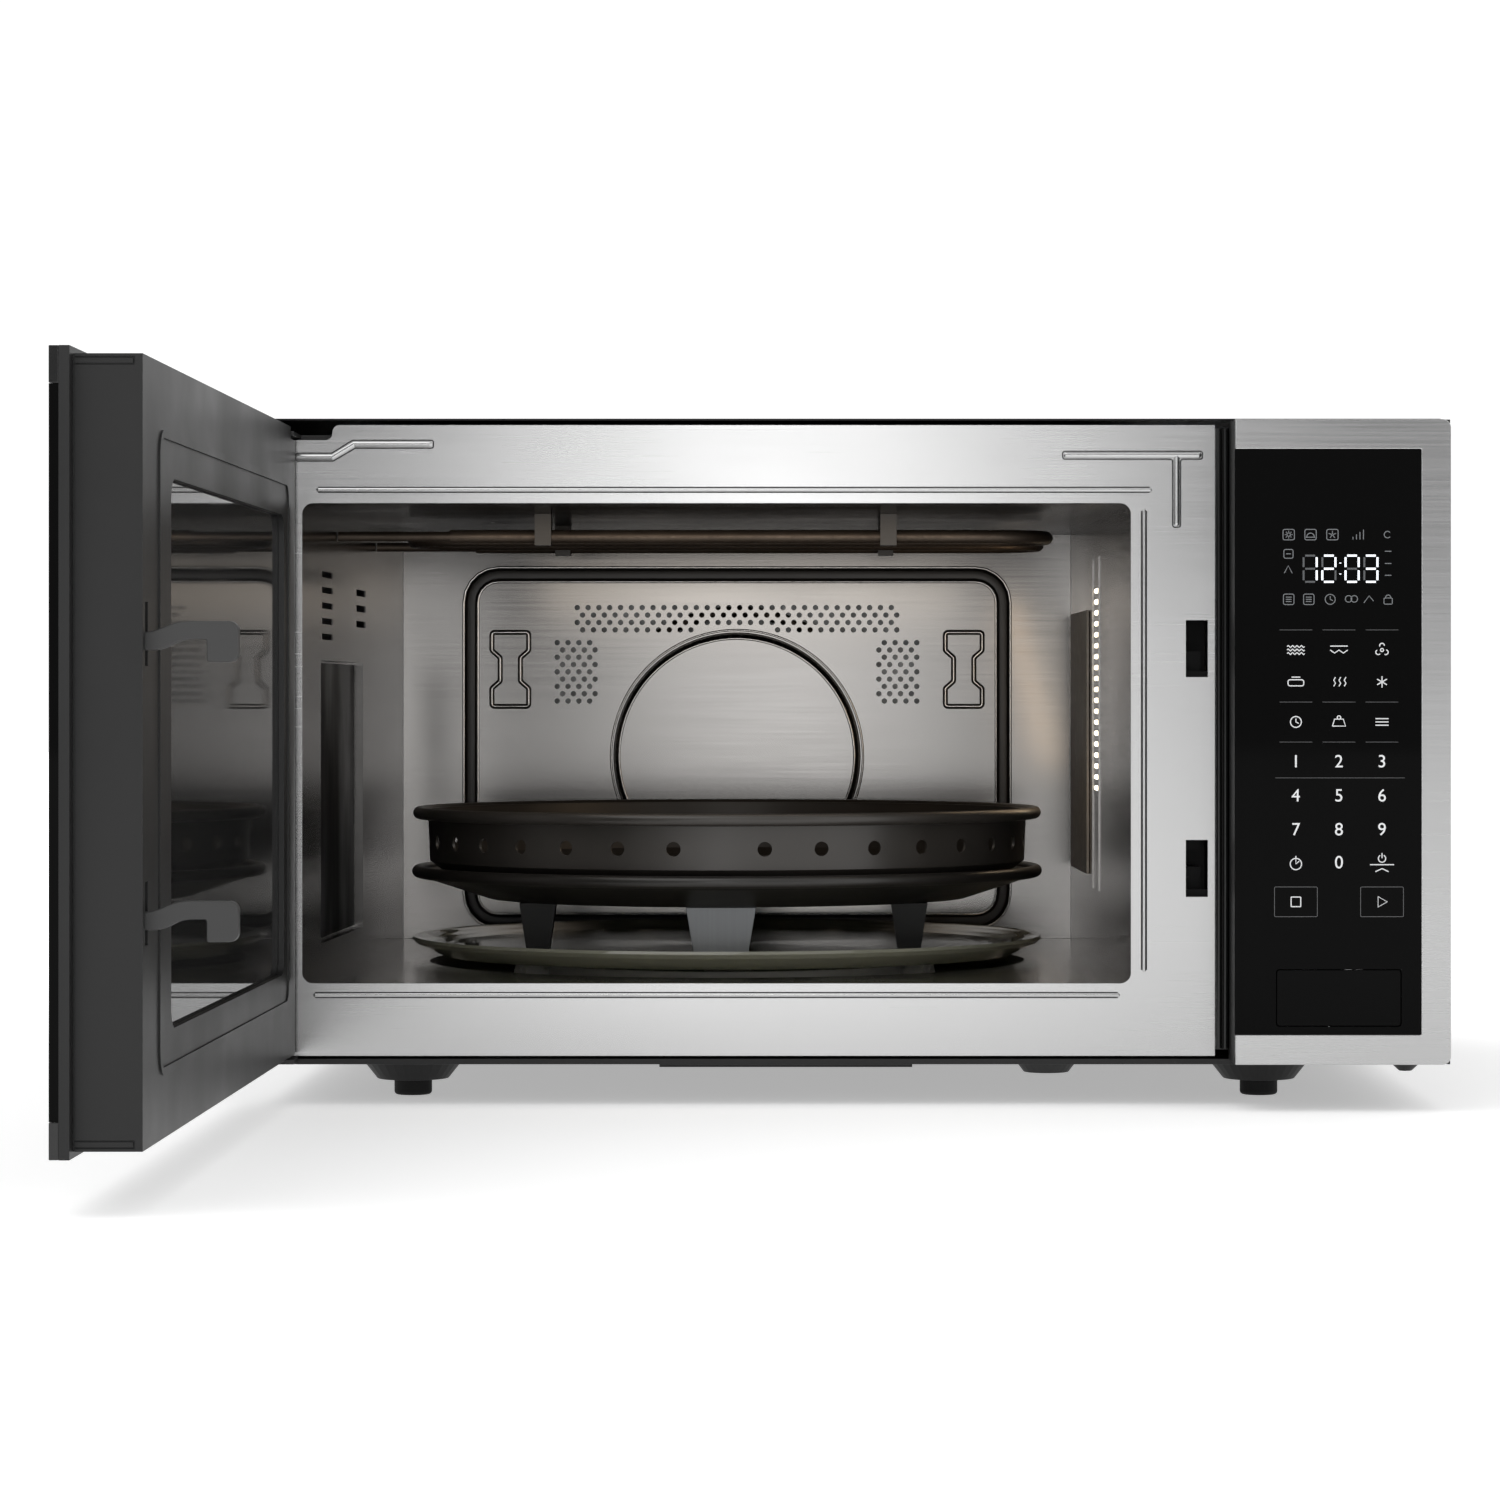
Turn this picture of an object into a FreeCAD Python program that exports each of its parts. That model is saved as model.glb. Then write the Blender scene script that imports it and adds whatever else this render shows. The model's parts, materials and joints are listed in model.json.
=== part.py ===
import FreeCAD, Part
import math
import os
import re
import Sketcher

# Countertop microwave oven with grill and convection, its door standing open at a right angle.
# Millimetres. +X to the right, +Y to the back, +Z up.
# Origin: on the counter, midway across the case, in the plane of the front frame.

Vector = FreeCAD.Vector
Rotation = FreeCAD.Rotation

SIZES = [
    ("case_half", 276, "half of the case's outside width"),
    ("case_depth", 460, "front frame to the back of the case"),
    ("case_top", 320, "top of the case above the counter"),
    ("base_low", 19.2, "underside of the base plate"),
    ("sheet", 0.8, "thickness of the sheet steel"),
    ("frame_right", 170.8, "right edge of the front frame"),
    ("frame_low", 23.3, "lower edge of the front frame"),
    ("frame_high", 316.9, "upper edge of the front frame"),
    ("mouth_left", -254.1, "left edge of the oven's mouth"),
    ("mouth_right", 131.7, "right edge of the oven's mouth"),
    ("mouth_low", 57, "lower edge of the oven's mouth"),
    ("mouth_high", 280.6, "upper edge of the oven's mouth"),
    ("mouth_round", 5, "corner radius of the mouth"),
    ("cavity_depth", 385, "front frame to the cavity's rear wall"),
    ("side_taper", 8, "how far each side wall leans in at the back"),
    ("bead_proud", 0.5, "how far the frame's beads stand out"),
    ("notch_right", -240, "right end of the frame's notch for the top hinge"),
    ("notch_round", 3.4, "radius of the two bends at that end"),
    ("slot_left", 157.3, "left edge of the latch slots"),
    ("slot_right", 167.5, "right edge of the latch slots"),
    ("slot_low", 97.3, "lower edge of the lower latch slot"),
    ("slot_tall", 26.5, "height of a latch slot"),
    ("latch_pitch", 102.3, "lower latch to upper latch"),
    ("front_face", -35, "front plane of the door and the control panel when closed"),
    ("front_low", 22, "lower edge of the door and the control panel"),
    ("front_high", 317.5, "upper edge of the door and the control panel"),
    ("glass_thick", 3.6, "thickness of the front glass and its border"),
    ("border", 13.7, "width of the stainless border"),
    ("panel_left", 177.2, "left edge of the control panel"),
    ("door_edge", 176, "free edge of the closed door's front"),
    ("hinge_x", -264, "door hinge axis, across"),
    ("hinge_y", -9, "door hinge axis, in front of the frame"),
    ("pin_radius", 3, "radius of a door hinge pin"),
    ("running_gap", 0.06, "radial clearance of a shaft in its bore"),
    ("flange_thick", 4, "thickness of the door's plastic flange"),
    ("box_left", -268, "hinge side of the closed door's box"),
    ("box_right", 170, "free side of the closed door's box"),
    ("box_low", 24.5, "bottom of the door's box"),
    ("box_high", 315, "top of the door's box"),
    ("box_back", -1.8, "inner face of the closed door"),
    ("box_wall", 2.6, "wall of the door's box"),
    ("window_left", -229, "left edge of the inner window when closed"),
    ("window_right", 103, "right edge of the inner window when closed"),
    ("window_low", 64, "lower edge of the inner window"),
    ("window_high", 273, "upper edge of the inner window"),
    ("window_round", 9, "corner radius of the inner window"),
    ("bead_round", 10, "corner radius of the raised line on the door's inner face"),
    ("hook_left", 158.9, "left side of a latch hook when closed"),
    ("hook_thick", 5, "thickness of a latch hook"),
    ("hook_root", 104.7, "underside of the lower latch hook's root"),
    ("table_x", -61.2, "turntable axis, across"),
    ("table_y", 192, "turntable axis, from the front frame"),
    ("table_radius", 160, "radius of the glass turntable"),
    ("glass_low", 60.4, "underside of the glass turntable"),
    ("glass_plate", 5, "thickness of the glass turntable"),
    ("dish_low", 47, "floor of the turntable's dish"),
    ("dish_radius", 152, "radius of the turntable's dish"),
    ("roller_radius", 6.3, "radius of a roller"),
    ("roller_track", 110, "radius of the circle that the rollers run on"),
    ("tray_rim", 160, "outer radius of the lower tray's rim"),
    ("tray_rim_high", 102.5, "height of the middle of the lower tray's rim"),
    ("tray_low", 89, "underside of the lower tray"),
    ("basket_rim", 159.5, "outer radius of the basket's rim"),
    ("basket_rim_high", 132, "height of the middle of the basket's rim"),
    ("basket_radius", 152, "outer radius of the basket's wall"),
    ("basket_low", 104, "underside of the basket"),
    ("pan_sheet", 1.2, "thickness of the tray and the basket"),
    ("rim_tube", 3, "radius of the rolled rims"),
    ("channel_half", 143.7, "half of the width inside the rear wall's pressed channel"),
    ("channel_low", 70.3, "lower inner edge of the channel"),
    ("channel_high", 254.7, "upper inner edge of the channel"),
    ("channel_round", 11.5, "corner radius of the channel's inner edge"),
    ("channel_wide", 7.5, "width of the channel"),
    ("disc_radius", 69, "radius of the rear wall's raised disc"),
    ("disc_high", 158, "height of the raised disc's centre"),
    ("disc_proud", 6, "how far the raised disc stands out"),
    ("hole_radius", 1.5, "radius of the rear wall's vent holes"),
    ("element_radius", 3.25, "radius of the grill and convection heaters"),
    ("foot_radius", 9, "radius of a rubber foot"),
    ("foot_tall", 7.8, "height of a rubber foot"),
    ("foot_left", -208.5, "left feet, across"),
    ("foot_right", 197, "right feet, across"),
    ("foot_front", 62, "front feet, from the front frame"),
    ("foot_back", 408, "rear feet, from the front frame"),
    ("button_left", 196.2, "left edge of the door button"),
    ("button_right", 252.9, "right edge of the door button"),
    ("button_low", 39.8, "lower edge of the door button"),
    ("button_high", 65.4, "upper edge of the door button"),
    ("button_gap", 0.4, "gap round the door button"),
    ("lever_y", 14, "release lever axis, from the front frame"),
    ("lever_z", 75, "release lever axis, height"),
    ("lever_shaft", 3, "radius of the release lever's shaft"),
    ("cooler_x", 205, "cooling fan axis, across"),
    ("cooler_z", 190, "cooling fan axis, height"),
    ("cooler_shaft", 2.5, "radius of the cooling fan's shaft"),
    ("cooler_half", 62, "half of the cooling fan frame's width"),
    ("fan_shaft", 3, "radius of the convection fan's shaft"),
    ("table_shaft", 3.5, "radius of the turntable motor's shaft"),
    ("roller_axle", 2, "radius of a roller's axle"),
    ("antenna_y", 306, "magnetron axis, from the front frame"),
    ("antenna_z", 165, "magnetron axis, height"),
    ("lamp_y", 202, "lamp bulb axis, from the front frame"),
    ("lamp_z", 198, "lamp bulb axis, height"),
    ("inlet_x", 230, "cord inlet, across"),
    ("inlet_z", 60, "cord inlet, height"),
]

os.makedirs("parts", exist_ok=True)
doc = FreeCAD.newDocument("microwave_oven")
sheet = doc.addObject("Spreadsheet::Sheet", "sizes")
for row, (name, size, note) in enumerate(SIZES, start=1):
    sheet.set(f"A{row}", note)
    sheet.set(f"B{row}", str(size))
    sheet.setAlias(f"B{row}", name)
doc.recompute()

NAMES = {name for name, size, note in SIZES}
SPIN = {
    "x": Rotation(Vector(0, 1, 0), 90),
    "y": Rotation(Vector(1, 0, 0), -90),
    "z": Rotation(),
}
nodes = []


# ---- helpers -------------------------------------------------------------------------------

def formula(text):
    """The formula with each size's name pointing at its cell."""
    def cell(match):
        word = match.group(0)
        return f"sizes.{word}" if word in NAMES else word
    return re.sub(r"[a-z_]+", cell, str(text))


def number(text):
    """What a formula works out to."""
    return float(sheet.evalExpression(formula(text)))


def bind(item, prop, text):
    item.setExpression(prop, formula(text))


def place(item, x, y, z):
    for axis, text in zip("xyz", (x, y, z)):
        bind(item, f"Placement.Base.{axis}", text)


def node(label, item):
    """Marks an object as one of the oven's pieces."""
    item.Label = label
    nodes.append(item)
    return item


def block(x, y, z):
    item = doc.addObject("Part::Box", "block")
    for side, (low, high) in zip(("Length", "Width", "Height"), (x, y, z)):
        bind(item, side, f"({high}) - ({low})")
    place(item, x[0], y[0], z[0])
    return item


def set_along(item, along, start, centre):
    item.Placement = FreeCAD.Placement(Vector(), SPIN[along])
    spot = list(centre)
    spot.insert("xyz".index(along), start)
    place(item, *spot)
    return item


def rod(radius, along, span, centre):
    item = doc.addObject("Part::Cylinder", "rod")
    bind(item, "Radius", radius)
    bind(item, "Height", f"({span[1]}) - ({span[0]})")
    return set_along(item, along, span[0], centre)


def taper(radius_low, radius_high, along, span, centre):
    item = doc.addObject("Part::Cone", "taper")
    bind(item, "Radius1", radius_low)
    bind(item, "Radius2", radius_high)
    bind(item, "Height", f"({span[1]}) - ({span[0]})")
    return set_along(item, along, span[0], centre)


def hoop(ring_radius, tube_radius, centre, along="z", sweep=360, start=0):
    """A torus, or the stretch of one that starts at an angle and covers the sweep."""
    item = doc.addObject("Part::Torus", "hoop")
    bind(item, "Radius1", ring_radius)
    bind(item, "Radius2", tube_radius)
    item.Angle3 = sweep
    item.Placement = FreeCAD.Placement(Vector(), SPIN[along] * Rotation(Vector(0, 0, 1), start))
    place(item, *centre)
    return item


def ball(radius, centre):
    item = doc.addObject("Part::Sphere", "ball")
    bind(item, "Radius", radius)
    place(item, *centre)
    return item


def join(*items):
    item = doc.addObject("Part::MultiFuse", "joined")
    item.Shapes = list(items)
    item.Refine = True
    return item


def group(*items):
    item = doc.addObject("Part::Compound", "group")
    item.Links = list(items)
    return item


def cut(base, *tools):
    item = doc.addObject("Part::Cut", "cut")
    item.Base = base
    item.Tool = tools[0] if len(tools) == 1 else join(*tools)
    return item


def shell(x, y, z, wall, openings=""):
    """A box-shaped shell. openings names the open sides, such as "-y"."""
    spans = []
    for axis, (low, high) in zip("xyz", (x, y, z)):
        inner_low = f"({low}) - 1" if f"-{axis}" in openings else f"({low}) + {wall}"
        inner_high = f"({high}) + 1" if f"+{axis}" in openings else f"({high}) - {wall}"
        spans.append((inner_low, inner_high))
    return cut(block(x, y, z), block(*spans))


def tube(outer, inner, along, span, centre):
    longer = (f"({span[0]}) - 1", f"({span[1]}) + 1")
    return cut(rod(outer, along, span, centre), rod(inner, along, longer, centre))


def holes(radius, along, span, spots):
    """One tool made of many equal parallel cylinders, for a perforated sheet."""
    low, high = number(span[0]), number(span[1])
    turn = SPIN[along]
    direction = turn.multVec(Vector(0, 0, 1))
    pins = []
    for first, second in spots:
        spot = [first, second]
        spot.insert("xyz".index(along), low)
        pins.append(Part.makeCylinder(number(radius), high - low, Vector(*spot), direction))
    item = doc.addObject("Part::Feature", "holes")
    item.Shape = Part.makeCompound(pins)
    return item


def pin_vertex(sketch, index, axis_constraint, axis_line, text):
    if text == "0":
        sketch.addConstraint(Sketcher.Constraint("PointOnObject", index, 1, axis_line))
        return
    spot = number(text)
    place_in_list = sketch.addConstraint(Sketcher.Constraint(axis_constraint, -1, 1, index, 1, spot))
    sketch.setExpression(f"Constraints[{place_in_list}]", formula(text))


def outline(body, role, points, offset="0"):
    """A closed sketch of straight lines, each corner held by two sizes."""
    plane = next(f for f in body.Origin.OriginFeatures if f.Role == role)
    sketch = body.newObject("Sketcher::SketchObject", "outline")
    sketch.AttachmentSupport = (plane, [""])
    sketch.MapMode = "FlatFace"
    bind(sketch, "AttachmentOffset.Base.z", offset)
    spots = [Vector(number(a), number(b), 0) for a, b in points]
    count = len(spots)
    for index in range(count):
        line = Part.LineSegment(spots[index], spots[(index + 1) % count])
        sketch.addGeometry(line, False)
    for index in range(count):
        sketch.addConstraint(Sketcher.Constraint("Coincident", index, 2, (index + 1) % count, 1))
    for index, (across, up) in enumerate(points):
        pin_vertex(sketch, index, "DistanceX", -2, across)
        pin_vertex(sketch, index, "DistanceY", -1, up)
    return sketch


def rectangle(x, z):
    return [(x[0], z[0]), (x[1], z[0]), (x[1], z[1]), (x[0], z[1])]


def pad(body, sketch, length):
    feature = body.newObject("PartDesign::Pad", "pad")
    feature.Profile = sketch
    bind(feature, "Length", length)
    return feature


def pocket_through(body, sketch):
    feature = body.newObject("PartDesign::Pocket", "pocket")
    feature.Profile = sketch
    feature.Type = "ThroughAll"
    feature.Midplane = True
    return feature


def round_edges(body, radius, corners, flat="xz", tolerance=0.05):
    """Fillets the edges that stand at the corners, square to the plane of the two axes."""
    doc.recompute()
    spots = [(number(a), number(b)) for a, b in corners]
    names = []
    for index, edge in enumerate(body.Tip.Shape.Edges, start=1):
        ends = [[getattr(vertex.Point, axis) for axis in flat] for vertex in edge.Vertexes]
        if math.dist(ends[0], ends[-1]) > tolerance:
            continue
        if any(math.dist(ends[0], spot) < tolerance for spot in spots):
            names.append(f"Edge{index}")
    base = body.Tip
    feature = body.newObject("PartDesign::Fillet", "fillet")
    feature.Base = (base, names)
    bind(feature, "Radius", radius)
    return feature


def plate(label, x, z, y, windows=(), rounding=None):
    """An upright plate facing forward, with rectangular windows."""
    body = doc.addObject("PartDesign::Body", label)
    pad(body, outline(body, "XZ_Plane", rectangle(x, z), f"-({y[1]})"), f"({y[1]}) - ({y[0]})")
    for window_x, window_z in windows:
        pocket_through(body, outline(body, "XZ_Plane", rectangle(window_x, window_z), f"-({y[1]})"))
    if rounding:
        round_edges(body, *rounding)
    return body


def turned(label, points, x, y):
    """A solid of revolution about an upright axis; points are radius and height."""
    body = doc.addObject("PartDesign::Body", label)
    sketch = outline(body, "XZ_Plane", points)
    feature = body.newObject("PartDesign::Revolution", "turn")
    feature.Profile = sketch
    feature.ReferenceAxis = (sketch, ["V_Axis"])
    feature.Angle = 360
    place(body, x, y, "0")
    return body


# ---- base, case, feet ------------------------------------------------------------------------

def make_base():
    plate_x = ("-case_half + 2", "case_half - 2")
    plate_top = "base_low + 1.2"
    floor = block(plate_x, ("1.2", "case_depth - 1.2"), ("base_low", plate_top))
    lip = block(plate_x, ("1.2", "2.4"), ("base_low", "frame_low - 1.4"))
    outer = []
    inner = []
    for x in ("foot_left", "foot_right"):
        for y in ("foot_front", "foot_back"):
            outer.append(taper("17", "27", "z", ("foot_tall", plate_top), (x, y)))
            inner.append(taper("15.8", "25.8", "z", ("foot_tall + 1.2", "base_low + 2.4"), (x, y)))
    # small front boss, and the broad shallow one in the middle
    outer.append(taper("10.5", "15", "z", ("14.6", plate_top), ("93", "17")))
    inner.append(taper("9.3", "13.8", "z", ("15.8", "base_low + 2.4"), ("93", "17")))
    outer.append(block(("-88", "30"), ("4", "60"), ("17.7", plate_top)))
    inner.append(block(("-86.8", "28.8"), ("5.2", "58.8"), ("18.9", "base_low + 2.4")))
    outer.append(taper("3", "9", "z", ("14.8", plate_top), ("262", "20")))
    node("base_plate", cut(join(floor, lip, *outer), *inner))
    feet = []
    for x in ("foot_left", "foot_right"):
        for y in ("foot_front", "foot_back"):
            column = rod("foot_radius", "z", ("1", "foot_tall"), (x, y))
            sole = taper("foot_radius - 1", "foot_radius", "z", ("0", "1"), (x, y))
            hollow = rod("3.2", "z", ("-1", "2.5"), (x, y))
            feet.append(cut(join(column, sole), hollow))
    node("feet", group(*feet))


def make_case():
    wrap = cut(
        block(("-case_half", "case_half"), ("1", "case_depth - 1"), ("base_low + 0.6", "case_top")),
        block(("sheet - case_half", "case_half - sheet"), ("0", "case_depth"), ("0", "case_top - sheet")),
    )
    vents = []
    for row in range(14):
        low = 90 + 11 * row
        for start in (300, 350):
            vents.append(block(("case_half - 3", "case_half + 3"), (start, start + 38), (low, low + 4)))
    for row in range(6):
        low = 200 + 11 * row
        vents.append(block(("-case_half - 3", "3 - case_half"), (360, 410), (low, low + 4)))
    node("outer_case", cut(wrap, *vents))

    back = block(
        ("1.2 - case_half", "case_half - 1.2"),
        ("case_depth - 0.9", "case_depth"),
        ("base_low + 1.4", "case_top - 1"),
    )
    louvres = []
    for row in range(10):
        low = 140 + 10 * row
        louvres.append(block((158, 252), ("case_depth - 3", "case_depth + 3"), (low, low + 4)))
    for row in range(6):
        low = 60 + 10 * row
        louvres.append(block((-220, -120), ("case_depth - 3", "case_depth + 3"), (low, low + 4)))
    gland_hole = rod("8.1", "y", ("case_depth - 3", "case_depth + 3"), ("inlet_x", "inlet_z"))
    node("rear_panel", cut(back, gland_hole, *louvres))

    collar = tube("8", "5", "y", ("case_depth - 8", "case_depth + 5"), ("inlet_x", "inlet_z"))
    lip = tube("11", "5", "y", ("case_depth + 0.2", "case_depth + 2.6"), ("inlet_x", "inlet_z"))
    node("cord_inlet", join(collar, lip))

    screws = []
    for x, z in ((-262, 300), (-262, 40), (262, 300), (262, 40), (0, 308)):
        head = rod("4", "y", ("case_depth + 0.05", "case_depth + 2.4"), (x, z))
        cross = block((x - 2.2, x + 2.2), ("case_depth + 1.4", "case_depth + 3"), (z - 0.5, z + 0.5))
        bar = block((x - 0.5, x + 0.5), ("case_depth + 1.4", "case_depth + 3"), (z - 2.2, z + 2.2))
        screws.append(cut(head, cross, bar))
    node("case_screws", group(*screws))


# ---- front frame -------------------------------------------------------------------------------

def bead(x0, z0, x1, z1, radius, proud):
    """A round-ended raised bead on the front frame, between two points."""
    run = math.hypot(x1 - x0, z1 - z0)
    sink = f"{radius} - {proud}"
    item = doc.addObject("Part::Cylinder", "bead")
    item.Radius = radius
    item.Height = run
    item.Placement = FreeCAD.Placement(Vector(), Rotation(Vector(0, 0, 1), Vector(x1 - x0, 0, z1 - z0)))
    place(item, x0, sink, z0)
    return [item, ball(radius, (x0, sink, z0)), ball(radius, (x1, sink, z1))]


def make_front_frame():
    slots = []
    for rise in ("slot_low", "slot_low + latch_pitch"):
        slots.append((("slot_left", "slot_right"), (rise, f"{rise} + slot_tall")))
    mouth_x = ("mouth_left", "mouth_right")
    mouth_z = ("mouth_low", "mouth_high")
    notch_low = "frame_high - 2 * notch_round - 0.2"
    notch = (("-case_half - 1", "notch_right"), (notch_low, "frame_high + 1"))
    body = plate(
        "frame_plate",
        ("-case_half", "frame_right"),
        ("frame_low", "frame_high"),
        ("0", "sheet"),
        [(mouth_x, mouth_z), notch] + slots,
        ("mouth_round", rectangle(mouth_x, mouth_z)),
    )
    round_edges(body, "notch_round", [("notch_right", "frame_high"), ("notch_right", notch_low)])
    rib = 1.15
    proud = number("bead_proud")
    beads = []
    beads += bead(-246.6, 286.8, 140.5, 286.8, rib, proud)
    beads += bead(-248, 51.6, 125.6, 51.6, rib, proud)
    beads += bead(137.8, 63.3, 137.8, 276.9, rib, proud)
    wide = 1.75
    proud = 0.7
    beads += bead(101.8, 302.9, 163.2, 302.9, wide, proud)
    beads += bead(153, 302.9, 153, 271.2, wide, proud)
    beads += bead(-240, 302, -230, 308, wide, proud)
    beads += bead(-230, 308, -194.8, 308, wide, proud)
    beads += bead(-257, 302, -240, 302, wide, proud)
    whole = join(body, *beads)
    behind = block(("-case_half", "frame_right"), ("sheet", "6"), ("frame_low", "frame_high"))
    node("front_frame", cut(whole, behind))

    strip = block(("frame_right + 0.2", "panel_left - 0.2"), ("-3", "0.9"), ("26.5", "315.5"))
    ridges = [
        rod("1.3", "z", ("27", "315"), ("frame_right + 1.7", "-3")),
        rod("1.3", "z", ("27", "315"), ("panel_left - 1.7", "-3")),
    ]
    node("side_strip", join(strip, *ridges))


# ---- cavity --------------------------------------------------------------------------------------

LEAN = "side_taper / cavity_depth"


def leaning(side, offsets, y, z):
    """A slab parallel to a side wall; offsets are distances across from the wall's inner face."""
    edge, direction = ("mouth_left", "+") if side == "left" else ("mouth_right", "-")
    item = doc.addObject("Part::Wedge", "leaning")
    bind(item, "Xmin", f"{edge} {direction} {LEAN} * ({y[0]}) + ({offsets[0]})")
    bind(item, "Xmax", f"{edge} {direction} {LEAN} * ({y[0]}) + ({offsets[1]})")
    bind(item, "X2min", f"{edge} {direction} {LEAN} * ({y[1]}) + ({offsets[0]})")
    bind(item, "X2max", f"{edge} {direction} {LEAN} * ({y[1]}) + ({offsets[1]})")
    bind(item, "Ymin", y[0])
    bind(item, "Ymax", y[1])
    for low, high in (("Zmin", "Zmax"), ("Z2min", "Z2max")):
        bind(item, low, z[0])
        bind(item, high, z[1])
    return item


def full_width(z):
    item = doc.addObject("Part::Wedge", "full_width")
    bind(item, "Xmin", "mouth_left - sheet")
    bind(item, "Xmax", "mouth_right + sheet")
    bind(item, "X2min", "mouth_left - sheet + side_taper")
    bind(item, "X2max", "mouth_right + sheet - side_taper")
    bind(item, "Ymin", "sheet")
    bind(item, "Ymax", "cavity_depth + sheet")
    for low, high in (("Zmin", "Zmax"), ("Z2min", "Z2max")):
        bind(item, low, z[0])
        bind(item, high, z[1])
    return item


def make_floor():
    centre = ("table_x", "table_y")
    panel = full_width(("mouth_low - sheet", "mouth_low"))
    dish = taper("dish_radius - 5", "dish_radius", "z", ("dish_low - sheet", "mouth_low"), centre)
    hollow = taper("dish_radius - 6", "dish_radius - 0.8", "z", ("dish_low", "mouth_low + 0.1"), centre)
    shaft_hole = rod("4.4", "z", ("dish_low - 3", "dish_low + 3"), centre)
    node("cavity_floor", cut(join(panel, dish), hollow, shaft_hole))


def make_ceiling():
    panel = full_width(("mouth_high", "mouth_high + sheet"))
    spots = []
    for row in range(4):
        for column in range(26):
            spots.append((-140 + 6 * column + 3 * (row % 2), 40 + 5 * row))
    vents = holes("1.4", "z", ("mouth_high - 2", "mouth_high + 4"), spots)
    node("cavity_ceiling", cut(panel, vents))


def make_left_wall():
    inside = ("cavity_depth * 0.16", "cavity_depth * 0.56")
    low, high = "72", "208"
    walls = leaning("left", ("-sheet", "0"), ("sheet", "cavity_depth"), ("mouth_low", "mouth_high"))
    pan = leaning("left", ("-6", "-0.1"), (f"{inside[0]} - 1", f"{inside[1]} + 1"), ("71", "209"))
    hollow = leaning("left", ("-5.2", "1"), inside, (low, high))
    slits = []
    for row in range(5):
        bottom = 218 + 7.5 * row
        slits.append(leaning("left", ("-2", "1"), ("66", "104"), (bottom, bottom + 3)))
    for row in range(3):
        bottom = 226 + 8 * row
        slits.append(leaning("left", ("-2", "1"), ("190", "226"), (bottom, bottom + 3.4)))
    node("cavity_left_wall", cut(join(walls, pan), hollow, *slits))


def make_right_wall():
    wall = leaning("right", ("0", "sheet"), ("sheet", "cavity_depth"), ("mouth_low", "mouth_high"))
    feed = leaning("right", ("-1", "3"), ("262", "352"), ("112", "218"))
    spots = []
    for row in range(19):
        for column in range(3):
            spots.append((196 + 5 * column, 144 + 5.6 * row))
    lamp_holes = holes("1.3", "x", ("mouth_right - 9", "mouth_right + 4"), spots)
    ribs = []
    for y in ("182", "222"):
        ribs.append(leaning("right", ("-0.7", "0.1"), (y, f"{y} + 3"), ("92", "262")))
    node("cavity_right_wall", cut(join(wall, *ribs), feed, lamp_holes))
    cover = leaning("right", ("-1.5", "-0.3"), ("250", "364"), ("98", "236"))
    node("waveguide_cover", cover)


def rounded_slab(x, y, z, radius):
    """A slab facing forward with its four corners rounded."""
    radius = f"({radius})"
    tall = block((f"{x[0]} + {radius}", f"{x[1]} - {radius}"), y, z)
    wide = block(x, y, (f"{z[0]} + {radius}", f"{z[1]} - {radius}"))
    corners = []
    for across in (f"{x[0]} + {radius}", f"{x[1]} - {radius}"):
        for up in (f"{z[0]} + {radius}", f"{z[1]} - {radius}"):
            corners.append(rod(radius, "y", y, (across, up)))
    return join(tall, wide, *corners)


def rear_vent_spots():
    """The staggered holes over the disc, and the ones at each side of it."""
    middle = number("table_x")
    disc_z = number("disc_high")
    keep_out = number("disc_radius") + 4
    spots = []
    for row in range(4):
        for column in range(30):
            x = middle - 88.5 + 6 * column + 3 * (row % 2)
            z = 240.2 - 4.1 * row
            if math.hypot(x - middle, z - disc_z) > keep_out:
                spots.append((x, z))
    for row in range(9):
        for column in range(4):
            away = 99.6 - 6 * column - 3 * (row % 2)
            z = 220.8 - 4.04 * row
            if math.hypot(away, z - disc_z) > keep_out:
                spots.append((middle - away, z))
                spots.append((middle + away, z))
    return spots


def make_rear_wall():
    front, back = "cavity_depth", "cavity_depth + sheet"
    wall = block(
        ("mouth_left + side_taper + 0.1", "mouth_right - side_taper - 0.1"),
        (front, back),
        ("mouth_low + 0.1", "mouth_high - 0.1"),
    )
    def ring_slab(margin, y):
        """A rounded slab whose edge lies a margin outside the channel's inner edge."""
        reach = f"(channel_half + {margin})"
        span_x = (f"table_x - {reach}", f"table_x + {reach}")
        span_z = (f"channel_low - ({margin})", f"channel_high + {margin}")
        return rounded_slab(span_x, y, span_z, f"channel_round + {margin}")

    trough = ring_slab("channel_wide + 1", (front, f"{front} + 3.2"))
    inside = ring_slab("-0.7", (f"{back} + 0.01", f"{front} + 5"))
    groove = cut(
        ring_slab("channel_wide", (f"{front} - 1", f"{front} + 2.5")),
        ring_slab("0", (f"{front} - 2", f"{front} + 4")),
    )
    centre = ("table_x", "disc_high")
    disc = taper("disc_radius - 4", "disc_radius", "y", (f"{front} - disc_proud", back), centre)
    disc_inside = (f"{front} - disc_proud + sheet", f"{back} + 0.1")
    disc_hollow = taper("disc_radius - 5", "disc_radius - 0.9", "y", disc_inside, centre)
    vents = holes("hole_radius", "y", (f"{front} - 2", f"{front} + 4"), rear_vent_spots())
    pressed = cut(cut(join(wall, trough), inside), groove)
    node("cavity_rear_wall", cut(cut(join(pressed, disc), disc_hollow), vents))


# ---- heating, light and air -----------------------------------------------------------------------

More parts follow.
